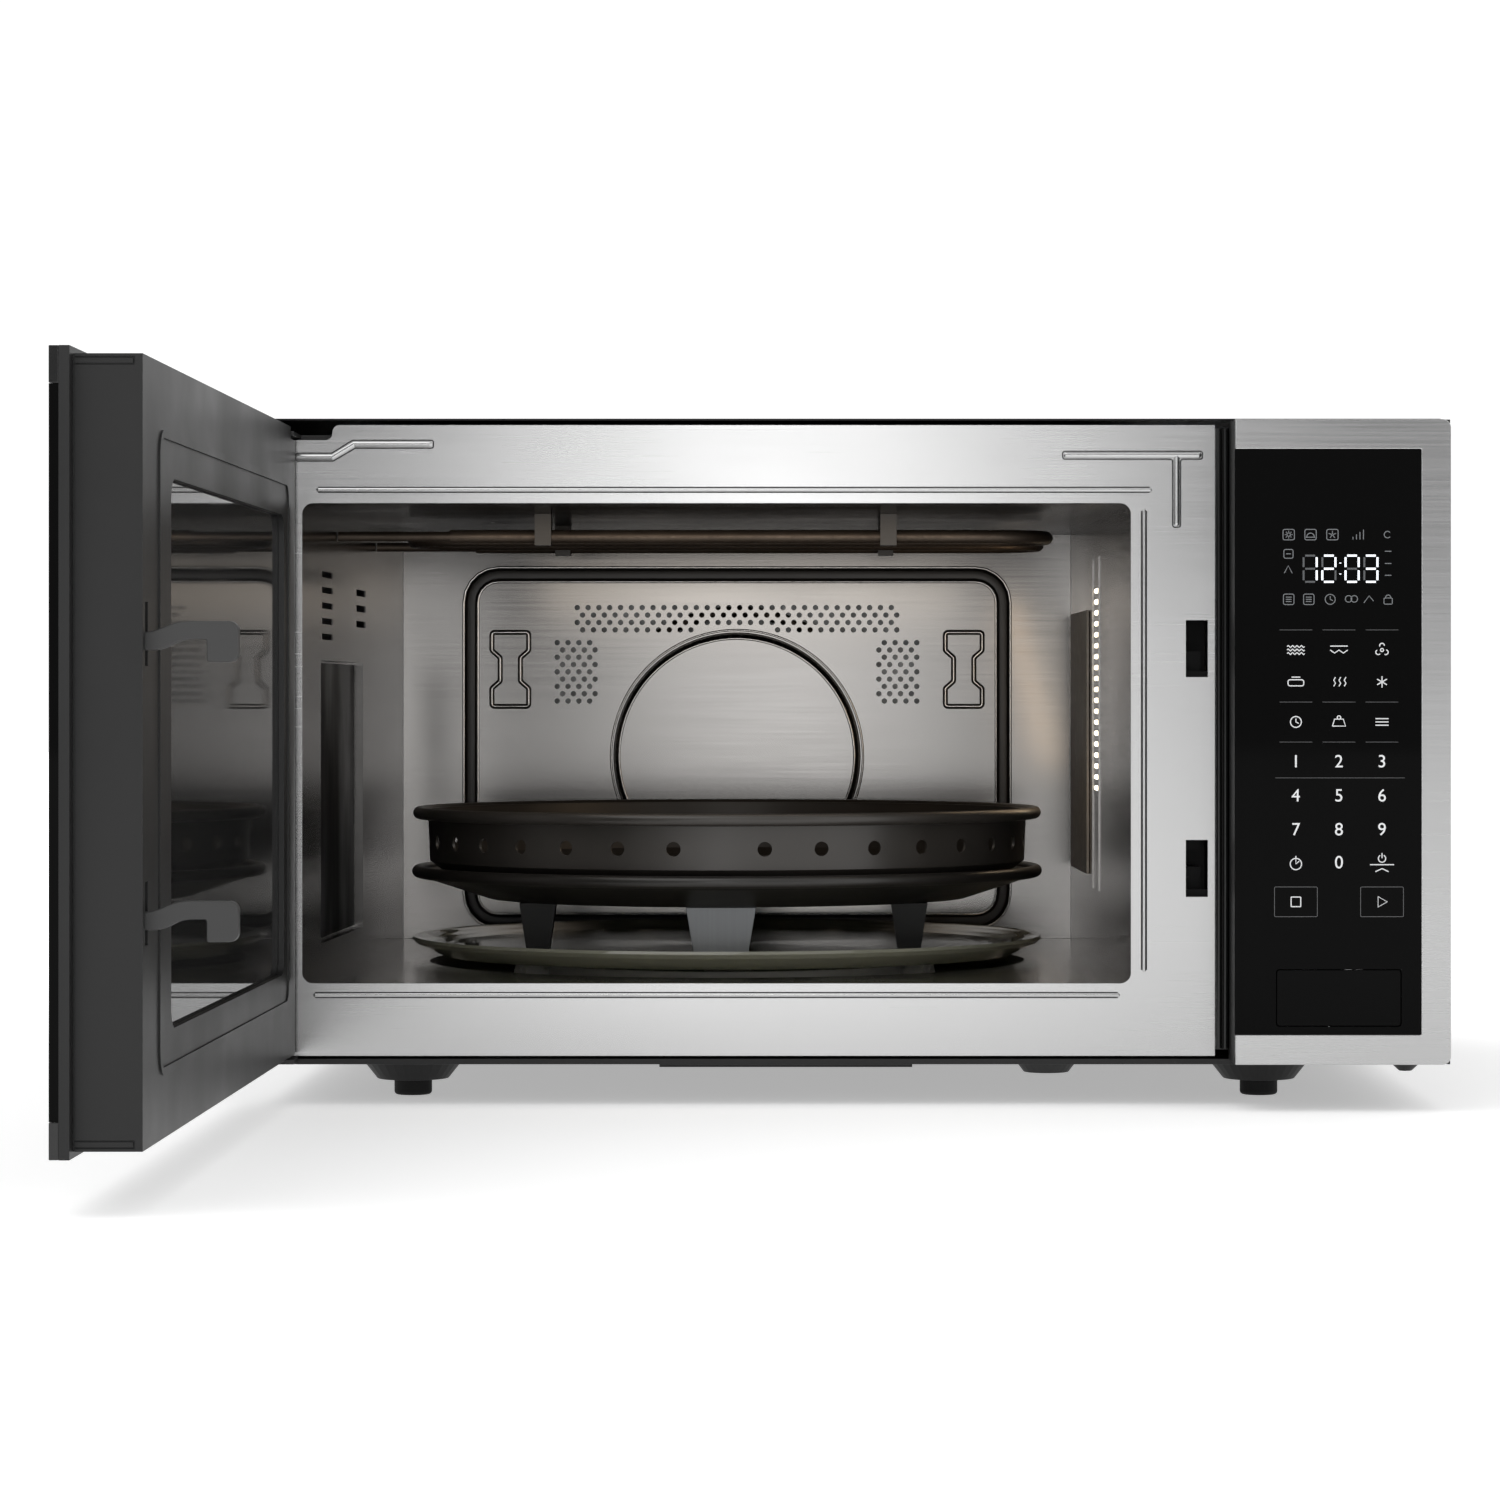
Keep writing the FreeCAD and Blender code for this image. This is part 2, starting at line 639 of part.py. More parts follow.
def make_grill():
    """A serpentine heater under the ceiling, and the clips that hold it."""
    level = "mouth_high - 11"
    left, right = "-196", "74"
    runs = []
    rows = [120, 170, 220, 270]
    for row in rows:
        runs.append(rod("element_radius", "x", (left, right), (row, level)))
    for index in range(3):
        middle = (rows[index] + rows[index + 1]) / 2
        end, start = (right, -90) if index % 2 == 0 else (left, 90)
        runs.append(hoop("25", "element_radius", (end, middle, level), "z", 180, start))
    tails = []
    for row in (rows[0], rows[-1]):
        tails.append(rod("2.4", "x", (f"mouth_left + {LEAN} * {row} + 0.4", left), (row, level)))
    node("grill_element", join(*runs, *tails))
    clips = []
    for x in (-150, 20):
        for row in (rows[0], rows[-1]):
            hanger = block((x - 4, x + 4), (row - 5.5, row + 5.5), ("mouth_high - 15.5", "mouth_high - 0.1"))
            bore = rod("element_radius + 0.05", "x", (x - 6, x + 6), (row, level))
            clips.append(cut(hanger, bore))
    node("grill_brackets", group(*clips))


def make_convection():
    centre = ("table_x", "disc_high")
    back = "cavity_depth + sheet + 0.1"
    can = shell(
        ("table_x - 104", "table_x + 104"), (back, "cavity_depth + 28"), ("72", "252"), "sheet", "-y"
    )
    motor_hole = rod("5", "y", ("cavity_depth + 20", "cavity_depth + 35"), centre)
    node("convection_housing", cut(can, motor_hole))
    ring = hoop("80", "element_radius", ("table_x", "cavity_depth + 14", "disc_high"), "y", 360, 0)
    node("convection_heater", ring)
    shaft = rod("fan_shaft", "y", ("cavity_depth + 6", "cavity_depth + 44"), centre)
    hub = rod("9", "y", ("cavity_depth + 8", "cavity_depth + 20"), centre)
    disc = tube("70", "4", "y", ("cavity_depth + 19", "cavity_depth + 20"), centre)
    blades = []
    for index in range(10):
        angle = 36 * index
        blade = doc.addObject("Part::Box", "blade")
        blade.Length = 46
        blade.Width = 11
        blade.Height = 1
        turn = Rotation(Vector(0, 1, 0), angle) * Rotation(Vector(0, 1, 0), 12)
        blade.Placement = FreeCAD.Placement(Vector(), turn)
        reach = turn.multVec(Vector(20, 0, 0))
        place(blade, f"table_x + {reach.x:.4f}", "cavity_depth + 8.5", f"disc_high + {reach.z:.4f}")
        blades.append(blade)
    node("convection_fan", join(shaft, hub, disc, *blades))
    can = rod("32", "y", ("cavity_depth + 29", "cavity_depth + 52"), centre)
    foot_y = ("cavity_depth + 28.2", "cavity_depth + 30")
    foot = block(("table_x - 45", "table_x + 45"), foot_y, ("disc_high - 8", "disc_high + 8"))
    bore = rod("fan_shaft + running_gap", "y", ("cavity_depth + 27", "cavity_depth + 46"), centre)
    node("convection_motor", cut(join(can, foot), bore))


def make_microwave_source():
    outside = "mouth_right + sheet + 0.3"
    duct = shell((outside, "158"), ("254", "360"), ("104", "226"), "1.2", "-x")
    antenna_hole = rod("14", "x", ("155", "160"), ("antenna_y", "antenna_z"))
    node("waveguide", cut(duct, antenna_hole))
    parts = [
        block(("158.2", "162"), ("262", "350"), ("122", "208")),
        block(("224", "228"), ("262", "350"), ("122", "208")),
        block(("162", "224"), ("262", "264"), ("122", "208")),
        block(("162", "224"), ("348", "350"), ("122", "208")),
        rod("18", "x", ("158", "228"), ("antenna_y", "antenna_z")),
        rod("11", "x", ("140", "160"), ("antenna_y", "antenna_z")),
    ]
    for index in range(9):
        low = 170 + 5.4 * index
        parts.append(block((low, low + 0.8), ("263", "349"), ("126", "204")))
    node("magnetron", join(*parts))


def make_power():
    core = block(("150", "222"), ("150", "232"), ("base_low + 1.4", "96"))
    windows = [
        block(("149", "223"), ("166", "180"), ("40", "78")),
        block(("149", "223"), ("202", "216"), ("40", "78")),
    ]
    coil = block(("140", "232"), ("167", "215"), ("42", "76"))
    leg = block(("149", "223"), ("180", "202"), ("39", "79"))
    node("transformer", group(cut(core, *windows), cut(coil, leg)))
    can = rod("24", "y", ("250", "330"), ("180", "49"))
    strap = cut(
        block(("153", "207"), ("280", "296"), ("base_low + 1.4", "76")),
        rod("24.1", "y", ("279", "297"), ("180", "49")),
    )
    node("capacitor", group(can, strap))
    board = block(("150", "250"), ("360", "430"), ("292", "293.6"))
    coil = tube("14", "7", "z", ("293.6", "306"), ("180", "395"))
    box = block(("205", "240"), ("375", "415"), ("293.6", "308"))
    node("mains_filter", join(board, coil, box))


def make_cooling():
    centre = ("cooler_x", "cooler_z")
    frame = block(
        ("cooler_x - cooler_half", "cooler_x + cooler_half"),
        ("404", "440"),
        ("cooler_z - cooler_half", "cooler_z + cooler_half"),
    )
    throat = rod("56", "y", ("403", "426"), centre)
    back = rod("56", "y", ("426", "441"), centre)
    arm_x = block(("cooler_x - 60", "cooler_x + 60"), ("428", "438"), ("cooler_z - 5", "cooler_z + 5"))
    arm_z = block(("cooler_x - 5", "cooler_x + 5"), ("428", "438"), ("cooler_z - 60", "cooler_z + 60"))
    motor = rod("20", "y", ("427", "448"), centre)
    bore = rod("cooler_shaft + running_gap", "y", ("426", "440"), centre)
    node("cooling_fan_housing", cut(join(cut(frame, throat, back), arm_x, arm_z, motor), bore))
    shaft = rod("cooler_shaft", "y", ("406", "438"), centre)
    hub = rod("14", "y", ("408", "424"), centre)
    blades = []
    for index in range(5):
        blade = doc.addObject("Part::Box", "blade")
        blade.Length = 40
        blade.Width = 20
        blade.Height = 1.4
        turn = Rotation(Vector(0, 1, 0), 72 * index) * Rotation(Vector(1, 0, 0), 35)
        blade.Placement = FreeCAD.Placement(Vector(), turn)
        reach = turn.multVec(Vector(12, -10, -0.7))
        place(blade, f"cooler_x + {reach.x:.4f}", f"416 + {reach.y:.4f}", f"cooler_z + {reach.z:.4f}")
        blades.append(blade)
    node("cooling_fan", join(shaft, hub, *blades))
    duct = shell(("232", "268"), ("262", "402"), ("128", "252"), "1.6", "-x +y")
    node("air_duct", duct)


def make_lamp():
    holder = block(("148", "172"), ("188", "216"), ("190", "206"))
    base = rod("7", "x", ("140", "148"), ("lamp_y", "lamp_z"))
    bulb = rod("5.5", "x", ("136", "141"), ("lamp_y", "lamp_z"))
    node("cavity_lamp", join(holder, base, bulb))
    cutouts = []
    for y in (120, 150):
        body = rod("8", "x", ("mouth_right + 0.9", "146"), (y, 240))
        tabs = block(("146", "154"), (y - 3, y + 3), (236, 244))
        cutouts.append(join(body, tabs))
    node("thermal_cutouts", group(*cutouts))


# ---- turntable and what it carries -------------------------------------------------------------------

def make_turntable():
    axis = ("table_x", "table_y")
    can = rod("24", "z", ("28", "dish_low - sheet - 0.2"), axis)
    lug_z = ("44", "dish_low - sheet - 0.2")
    lugs = block(("table_x - 34", "table_x + 34"), ("table_y - 8", "table_y + 8"), lug_z)
    bore = rod("table_shaft + running_gap", "z", ("36", "47"), axis)
    node("turntable_motor", cut(join(can, lugs), bore))
    shaft = rod("table_shaft", "z", ("37", "52"), axis)
    hub = rod("12", "z", ("50", "58"), axis)
    arms = []
    for index in range(3):
        arm = doc.addObject("Part::Box", "arm")
        arm.Length = 34
        arm.Width = 8
        arm.Height = 6
        turn = Rotation(Vector(0, 0, 1), 120 * index)
        arm.Placement = FreeCAD.Placement(Vector(), turn)
        reach = turn.multVec(Vector(0, -4, 0))
        place(arm, f"table_x + {reach.x:.4f}", f"table_y + {reach.y:.4f}", "glass_low - 6.1")
        arms.append(arm)
    node("turntable_coupler", join(shaft, hub, *arms))
    profile = [
        ("0", "glass_low"),
        ("table_radius - 15", "glass_low"),
        ("table_radius - 2", "glass_low + 6"),
        ("table_radius", "glass_low + 8"),
        ("table_radius - 1", "glass_low + 9.4"),
        ("table_radius - 3.6", "glass_low + 9"),
        ("table_radius - 17.5", "glass_low + glass_plate"),
        ("0", "glass_low + glass_plate"),
    ]
    node("glass_turntable", turned("glass_plate_turned", profile, *axis))


def make_roller_ring():
    level = "dish_low + 0.4 + roller_radius"
    ring = tube(
        "roller_track - 8", "roller_track - 14", "z", (f"{level} - 3", f"{level} + 3"), ("table_x", "table_y")
    )
    pieces = [ring]
    for index in range(3):
        turn = Rotation(Vector(0, 0, 1), 120 * index + 90)
        axle = doc.addObject("Part::Cylinder", "axle")
        bind(axle, "Radius", "roller_axle")
        axle.Height = 20
        axle.Placement = FreeCAD.Placement(Vector(), turn * SPIN["x"])
        reach = turn.multVec(Vector(number("roller_track") - 12, 0, 0))
        place(axle, f"table_x + {reach.x:.4f}", f"table_y + {reach.y:.4f}", level)
        cap = doc.addObject("Part::Cylinder", "cap")
        cap.Radius = 3
        cap.Height = 1.6
        cap.Placement = FreeCAD.Placement(Vector(), turn * SPIN["x"])
        reach = turn.multVec(Vector(number("roller_track") + 7.4, 0, 0))
        place(cap, f"table_x + {reach.x:.4f}", f"table_y + {reach.y:.4f}", level)
        pieces += [axle, cap]
        wheel = doc.addObject("Part::Cylinder", "wheel")
        bind(wheel, "Radius", "roller_radius")
        wheel.Height = 10
        bore = doc.addObject("Part::Cylinder", "bore")
        bind(bore, "Radius", "roller_axle + running_gap")
        bore.Height = 12
        for item, start in ((wheel, -3), (bore, -4)):
            item.Placement = FreeCAD.Placement(Vector(), turn * SPIN["x"])
            reach = turn.multVec(Vector(number("roller_track") + start, 0, 0))
            place(item, f"table_x + {reach.x:.4f}", f"table_y + {reach.y:.4f}", level)
        node(f"roller_{index + 1}", cut(wheel, bore))
    node("roller_ring", join(*pieces))


def make_tray():
    axis = ("table_x", "table_y")
    profile = [
        ("0", "tray_low"),
        ("122", "tray_low"),
        ("tray_rim - 9", "tray_rim_high - 4"),
        ("tray_rim - 5", "tray_rim_high - 2"),
        ("tray_rim - 5", "tray_rim_high + 1.2"),
        ("tray_rim - 9.6", "tray_rim_high - 2.4"),
        ("121.5", "tray_low + pan_sheet"),
        ("0", "tray_low + pan_sheet"),
    ]
    body = turned("tray_turned", profile, *axis)
    rim = hoop("tray_rim - rim_tube", "rim_tube", ("table_x", "table_y", "tray_rim_high"))
    node("lower_tray", join(body, rim))

    glass_top = "glass_low + glass_plate + 0.1"
    legs = []
    for angle in (-142, -38, 90):
        x = f"table_x + {116 * math.cos(math.radians(angle)):.4f}"
        y = f"table_y + {116 * math.sin(math.radians(angle)):.4f}"
        leg = doc.addObject("Part::Wedge", "leg")
        leg.Xmin, leg.Xmax, leg.X2min, leg.X2max = -5.6, 5.6, -9, 9
        leg.Ymin = 0
        bind(leg, "Ymax", f"tray_low - 0.1 - ({glass_top})")
        leg.Zmin, leg.Zmax, leg.Z2min, leg.Z2max = -4, 4, -6, 6
        leg.Placement = FreeCAD.Placement(Vector(), Rotation(Vector(1, 0, 0), 90))
        place(leg, x, y, glass_top)
        legs.append(leg)
    node("tray_legs", group(*legs))
    bracket = doc.addObject("Part::Wedge", "bracket")
    bracket.Xmin, bracket.Xmax, bracket.X2min, bracket.X2max = -13, 13, -17, 17
    bracket.Ymin = 0
    bind(bracket, "Ymax", f"tray_low - 0.1 - ({glass_top})")
    bracket.Zmin, bracket.Zmax, bracket.Z2min, bracket.Z2max = -1, 1, -1, 1
    bracket.Placement = FreeCAD.Placement(Vector(), Rotation(Vector(1, 0, 0), 90))
    place(bracket, "table_x", "table_y - 119", glass_top)
    node("tray_bracket", bracket)


def make_basket():
    axis = ("table_x", "table_y")
    profile = [
        ("0", "basket_low"),
        ("basket_radius - 6", "basket_low"),
        ("basket_radius - 1", "basket_low + 4"),
        ("basket_radius", "basket_rim_high - 1"),
        ("basket_radius + 3", "basket_rim_high - 1"),
        ("basket_radius + 3", "basket_rim_high + 1.5"),
        ("basket_radius - pan_sheet", "basket_rim_high + 1.5"),
        ("basket_radius - 1 - pan_sheet", "basket_low + 5"),
        ("basket_radius - 6.6", "basket_low + pan_sheet"),
        ("0", "basket_low + pan_sheet"),
    ]
    body = turned("basket_turned", profile, *axis)
    rim = hoop("basket_rim - rim_tube", "rim_tube", ("table_x", "table_y", "basket_rim_high"))
    side_holes = []
    for quarter in range(4):
        for step in range(8):
            angle = 90 * quarter - 45 + 10.5 * (step - 3.5)
            hole = doc.addObject("Part::Cylinder", "side_hole")
            hole.Radius = 3.5
            hole.Height = 14
            turn = Rotation(Vector(0, 0, 1), angle)
            hole.Placement = FreeCAD.Placement(Vector(), turn * SPIN["x"])
            reach = turn.multVec(Vector(number("basket_radius") - 8, 0, 0))
            place(hole, f"table_x + {reach.x:.4f}", f"table_y + {reach.y:.4f}", "basket_low + 14")
            side_holes.append(hole)
    middle_x, middle_y = number("table_x"), number("table_y")
    spots = []
    for ring_number in range(1, 9):
        count = 6 * ring_number
        for index in range(count):
            angle = 2 * math.pi * index / count
            reach = 16 * ring_number
            spots.append((middle_x + reach * math.cos(angle), middle_y + reach * math.sin(angle)))
    floor_holes = holes("3", "z", ("basket_low - 2", "basket_low + 4"), spots)
    pan = cut(join(body, rim), group(*side_holes))
    node("air_fry_basket", cut(pan, floor_holes))


# ---- control panel -------------------------------------------------------------------------------------

def make_control_panel():
    panel_x = ("panel_left", "case_half")
    panel_z = ("front_low", "front_high")
    glass_x = ("panel_left", "case_half - border")
    glass_z = ("front_low + border", "front_high - border")
    front = ("front_face", "front_face + glass_thick")
    border = plate(
        "control_border",
        panel_x,
        panel_z,
        front,
        [(("panel_left - 1", glass_x[1]), glass_z)],
        ("4", [("case_half", "front_low"), ("case_half", "front_high")]),
    )
    node("control_trim", border)
    button_x = ("button_left - button_gap", "button_right + button_gap")
    button_z = ("button_low - button_gap", "button_high + button_gap")
    glass = plate(
        "control_pane",
        ("panel_left", f"{glass_x[1]} - 0.15"),
        (f"{glass_z[0]} + 0.15", f"{glass_z[1]} - 0.15"),
        ("front_face + 0.1", "front_face + glass_thick"),
        [(button_x, button_z)],
        ("1.6", rectangle(button_x, button_z)),
    )
    node("control_glass", glass)
    housing = shell(
        panel_x, ("front_face + glass_thick + 0.05", "0.6"), ("front_low", "front_high"), "2.2", "+y"
    )
    well = block(button_x, ("front_face", "front_face + 8"), button_z)
    spring_seat = block(("234", "248"), ("-19.2", "-17.2"), ("front_low + 1", "60"))
    node("control_housing", join(cut(housing, well), spring_seat))
    bezel = block(("200", "254"), ("-29", "-20"), ("228", "270"))
    node("display_module", bezel)
    board = block(("184", "268"), ("-18", "-16.4"), ("76", "308"))
    relay = block(("192", "210"), ("-16.4", "-2"), ("230", "258"))
    core = block(("222", "252"), ("-16.4", "2"), ("200", "234"))
    cans = [
        rod("5", "y", ("-16.4", "-2"), (200, 150)),
        rod("5", "y", ("-16.4", "-2"), (216, 150)),
    ]
    node("control_board", join(board, relay, core, *cans))


def make_door_button():
    cap_x = ("button_left", "button_right")
    cap_z = ("button_low", "button_high")
    cap = plate(
        "button_cap",
        cap_x,
        cap_z,
        ("front_face + 0.3", "front_face + 6"),
        (),
        ("1.4", rectangle(cap_x, cap_z)),
    )
    stem = block(("219", "230"), ("front_face + 6", "lever_y - 7.6"), ("48", "57"))
    node("door_button", join(cap, stem))
    coils = []
    for turn in range(4):
        coils.append(hoop("4", "0.5", ("241", f"front_face + 7.4 + {turn} * 2.4", "52.5"), "y", 360, 0))
    node("button_spring", group(*coils))
    # the lever's push arm stands behind the stem and its lift post under the lower latch hook
    axis = ("lever_y", "lever_z")
    shaft = rod("lever_shaft", "x", ("150", "236"), axis)
    push = block(("219", "230"), ("lever_y - 7", "lever_y - 2"), ("46", "lever_z"))
    hub = rod("5", "x", ("219", "230"), axis)
    lift_hub = rod("5", "x", ("157", "166"), axis)
    lift = block(("157", "166"), ("lever_y", "lever_y + 18"), ("lever_z - 3", "lever_z + 3"))
    post = block(("157", "166"), ("lever_y + 12", "lever_y + 18"), ("lever_z + 2", "lever_z + 19"))
    node("release_lever", join(shaft, push, hub, lift_hub, lift, post))


def make_latch_bracket():
    spine = block(("171", "172.6"), ("1", "62"), ("62", "236"))
    flange = block(("slot_right + 1.4", "172.6"), ("1", "2.4"), ("60", "236"))
    ears = [block(("168.4", "171"), ("6", "60"), (low, low + 2)) for low in (64, 140, 232)]
    ledges = []
    for rise in ("0", "latch_pitch"):
        ledges.append(block(("154", "171"), ("15", "19.5"), (f"94 + {rise}", f"100.1 + {rise}")))
    lever_bore = rod("lever_shaft + running_gap", "x", ("160", "180"), ("lever_y", "lever_z"))
    near_ear = block(("150.4", "152.4"), ("6", "60"), ("66", "84"))
    near_bore = rod("lever_shaft + running_gap", "x", ("140", "155"), ("lever_y", "lever_z"))
    tie = block(("150.4", "172.6"), ("58", "60"), ("62", "84"))
    whole = join(spine, flange, *ears, *ledges, near_ear, tie)
    node("latch_bracket", cut(whole, lever_bore, near_bore))
    switches = []
    for low in (98, 118, 200):
        body = block(("156", "167"), ("36", "54"), (low, low + 12))
        plunger = rod("1.2", "y", ("34.2", "36"), ("161", low + 6))
        switches.append(join(body, plunger))
    node("interlock_switches", group(*switches))


# ---- hinges -----------------------------------------------------------------------------------------------

def make_hinges():
    arm_x = ("hinge_x - 8", "hinge_x + 8")
    pin_spot = ("hinge_x", "hinge_y")
    top_arm = block(arm_x, ("hinge_y - 7", "14"), ("311", "313"))
    top_pad = block(("hinge_x - 8", "hinge_x + 30"), ("12", "14"), ("290", "313"))
    top_pin = rod("pin_radius", "z", ("296", "311.5"), pin_spot)
    node("hinge_top", join(top_arm, top_pad, top_pin))
    low_arm = block(arm_x, ("hinge_y - 7", "1.1"), ("20.6", "22.6"))
    low_pad = block(arm_x, ("-1.1", "-0.1"), ("20.6", "23.2"))
    low_pin = rod("pin_radius", "z", ("21", "38"), pin_spot)
    node("hinge_bottom", join(low_arm, low_pad, low_pin))


# ---- door, modelled closed about its hinge axis and then swung open ------------------------------

def across(span):
    return tuple(f"({text}) - hinge_x" for text in span)


def deep(span):
    return tuple(f"({text}) - hinge_y" for text in span)


def hang(item):
    """Swings a piece of the door open by a right angle about the hinge axis."""
    item.Placement = FreeCAD.Placement(Vector(), Rotation(Vector(0, 0, 1), -90))
    place(item, "hinge_x", "hinge_y", "0")
    return item


def make_door():
    width = across(("-case_half", "door_edge"))
    tall = ("front_low", "front_high")
    glass_x = across(("-case_half + border", "door_edge"))
    glass_z = ("front_low + border", "front_high - border")
    front = deep(("front_face", "front_face + glass_thick"))
    border = plate(
        "door_border",
        width,
        tall,
        front,
        [((glass_x[0], f"{width[1]} + 1"), glass_z)],
        ("4", [(width[0], tall[0]), (width[0], tall[1])]),
    )
    node("door_trim", hang(border))
    pane = plate(
        "door_pane",
        (f"{glass_x[0]} + 0.15", glass_x[1]),
        (f"{glass_z[0]} + 0.15", f"{glass_z[1]} - 0.15"),
        deep(("front_face + 0.1", "front_face + glass_thick")),
    )
    node("door_glass", hang(pane))

    flange_y = deep(("front_face + glass_thick + 0.05", "front_face + glass_thick + flange_thick"))
    flange = block(width, flange_y, tall)
    box_x = across(("box_left", "box_right"))
    box_y = deep(("front_face + glass_thick + flange_thick - 0.5", "box_back"))
    box_z = ("box_low", "box_high")
    box = block(box_x, box_y, box_z)
    window_x = across(("window_left", "window_right"))
    window_z = ("window_low", "window_high")
    hollow = block(
        (f"{box_x[0]} + box_wall", f"{box_x[1]} - box_wall"),
        (f"{flange_y[0]} + 3", f"{box_y[1]} - box_wall"),
        ("box_low + box_wall", "box_high - box_wall - 3"),
    )
    front_opening = block(
        across(("-240", "140")), (f"{flange_y[0]} - 1", f"{flange_y[1]} + 1"), ("52", "290")
    )
    window = rounded_slab(window_x, (f"{box_y[1]} - 5", f"{box_y[1]} + 2"), window_z, "window_round")
    pins = [
        rod("pin_radius + running_gap", "z", ("20", "39"), ("0", "0")),
        rod("pin_radius + running_gap", "z", ("295", "320"), ("0", "0")),
    ]
    bosses = [
        rod("4.6", "z", ("box_low", "44"), ("0.4", "0")),
        rod("4.6", "z", ("290", "309"), ("0.4", "0")),
    ]
    notch = block(("-5", "11.4"), ("-11.4", "9"), ("309.4", "316"))
    hook_slots = []
    for rise in ("0", "latch_pitch"):
        hook_slots.append(
            block(
                across(("hook_left - 0.6", "hook_left + hook_thick + 0.6")),
                (f"{box_y[1]} - 4", f"{box_y[1]} + 1"),
                (f"99 + {rise}", f"122.5 + {rise}"),
            )
        )
    bead_y = (f"{box_y[1]} - 0.2", f"{box_y[1]} + 0.8")
    bead_outer = rounded_slab(across(("-243", "134")), bead_y, ("48.4", "289.9"), "bead_round")
    inside_y = (f"{box_y[1]} - 1", f"{box_y[1]} + 2")
    bead_inner = rounded_slab(across(("-240", "131")), inside_y, ("51.4", "286.9"), "bead_round - 3")
    raised = cut(bead_outer, bead_inner)
    # grooves in the free end: a long one beside the flange, and a flat loop round each end cap's tongue
    end_x = (f"{box_x[1]} - 1", f"{box_x[1]} + 1")
    grooves = [block(end_x, (flange_y[1], f"{flange_y[1]} + 0.8"), box_z)]
    for low, high in (("box_high - 4.2", "box_high - 1"), ("box_low + 1", "box_low + 4.2")):
        loop = block(end_x, (flange_y[1], f"{box_y[1]} - 2.8"), (low, high))
        tongue = block(end_x, (f"{flange_y[1]} - 1", f"{box_y[1]} - 3.5"), (f"{low} + 0.7", f"{high} - 0.7"))
        grooves.append(cut(loop, tongue))
    casing = cut(join(flange, box), hollow, front_opening)
    casing = cut(join(casing, raised, *bosses), window, *pins, notch, *hook_slots, *grooves)
    node("door_frame", hang(casing))

    inner_pane = plate(
        "inner_pane",
        across(("window_left - 8", "window_right + 8")),
        ("window_low - 8", "window_high + 8"),
        (f"{box_y[1]} - box_wall - 2.5", f"{box_y[1]} - box_wall - 0.1"),
    )
    node("door_window", hang(inner_pane))
    screen_x = across(("-250", "145"))
    screen_z = ("40", "301")
    screen_y = deep(("front_face + 12", "front_face + 12.8"))
    screen = block(screen_x, screen_y, screen_z)
    choke = cut(
        block(screen_x, (screen_y[1], f"{screen_y[1]} + 9"), screen_z),
        block(
            (f"{screen_x[0]} + 0.8", f"{screen_x[1]} - 0.8"),
            (f"{screen_y[1]} - 1", f"{screen_y[1]} + 12"),
            ("40.8", "300.2"),
        ),
    )
    node("door_screen", hang(join(screen, choke)))


def hook_corner(root, reach, rise):
    """A corner of a latch hook's side view, from the underside of its root at the door's inner face."""
    return (f"({reach}) - hinge_y", f"{root} + ({rise})")


def latch_hook(root):
    """A root in the door, an arm that rises in a soft S, and a rounded paddle that hangs from its tip."""
    arm_low, arm_high = 4, 10.7
    paddle_near, paddle_far, paddle_low = 20.5, 32.2, -4.3
    corners = [
        (-14, 0), (4, 0), (12, arm_low), (paddle_near, arm_low), (paddle_near, paddle_low),
        (paddle_far, paddle_low), (paddle_far, arm_high), (10, arm_high), (0, 6.6), (-14, 6.6),
    ]
    body = doc.addObject("PartDesign::Body", "hook")
    profile = [hook_corner(root, *corner) for corner in corners]
    pad(body, outline(body, "YZ_Plane", profile, "hook_left - hinge_x"), "hook_thick")
    bends = {14: profile[1:3], 20: profile[7:9], 3.5: profile[5:7], 1: profile[3:5]}
    for radius, spots in bends.items():
        round_edges(body, radius, spots, "yz")
    return body


def make_latch():
    pieces = [latch_hook(root) for root in ("hook_root", "hook_root + latch_pitch")]
    bar_x = across(("hook_left - 2", "hook_left + hook_thick + 2"))
    bar = block(bar_x, deep(("-16", "-12")), ("86", "226"))
    seat = block(bar_x, deep(("-20", "-12")), ("226", "229"))
    node("latch_hooks", hang(join(*pieces, bar, seat)))
    coils = []
    for turn in range(7):
        middle = ("hook_left + hook_thick / 2 - hinge_x", "-19.4 - hinge_y", f"234 + 6 * {turn}")
        coils.append(hoop("3.2", "0.5", middle, "z", 360, 0))
    node("latch_spring", hang(group(*coils)))


make_base()
make_case()
make_front_frame()
make_floor()
make_ceiling()
make_left_wall()
make_right_wall()
make_rear_wall()
make_grill()
make_convection()
make_microwave_source()
make_power()
make_cooling()
make_lamp()
make_turntable()
make_roller_ring()
make_tray()
make_basket()
make_control_panel()
make_door_button()
make_latch_bracket()
make_hinges()
make_door()
make_latch()

doc.recompute()
failed = [item.Name for item in doc.Objects if {"Invalid", "Error"} & set(item.State)]
if failed:
    raise RuntimeError(f"these objects failed: {failed}")
for item in nodes:
    if item.Shape.isNull() or not item.Shape.isValid() or not item.Shape.Solids:
        raise RuntimeError(f"{item.Label} has no valid solid")
for item in nodes:
    item.Shape.exportStep(f"parts/{item.Label}.step")
print(len(nodes), "pieces written")
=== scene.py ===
"""The looks of a countertop microwave oven: finishes, fine pieces, studio and camera."""

import json
import math

import bmesh
import bpy
from mathutils import Euler, Matrix, Vector


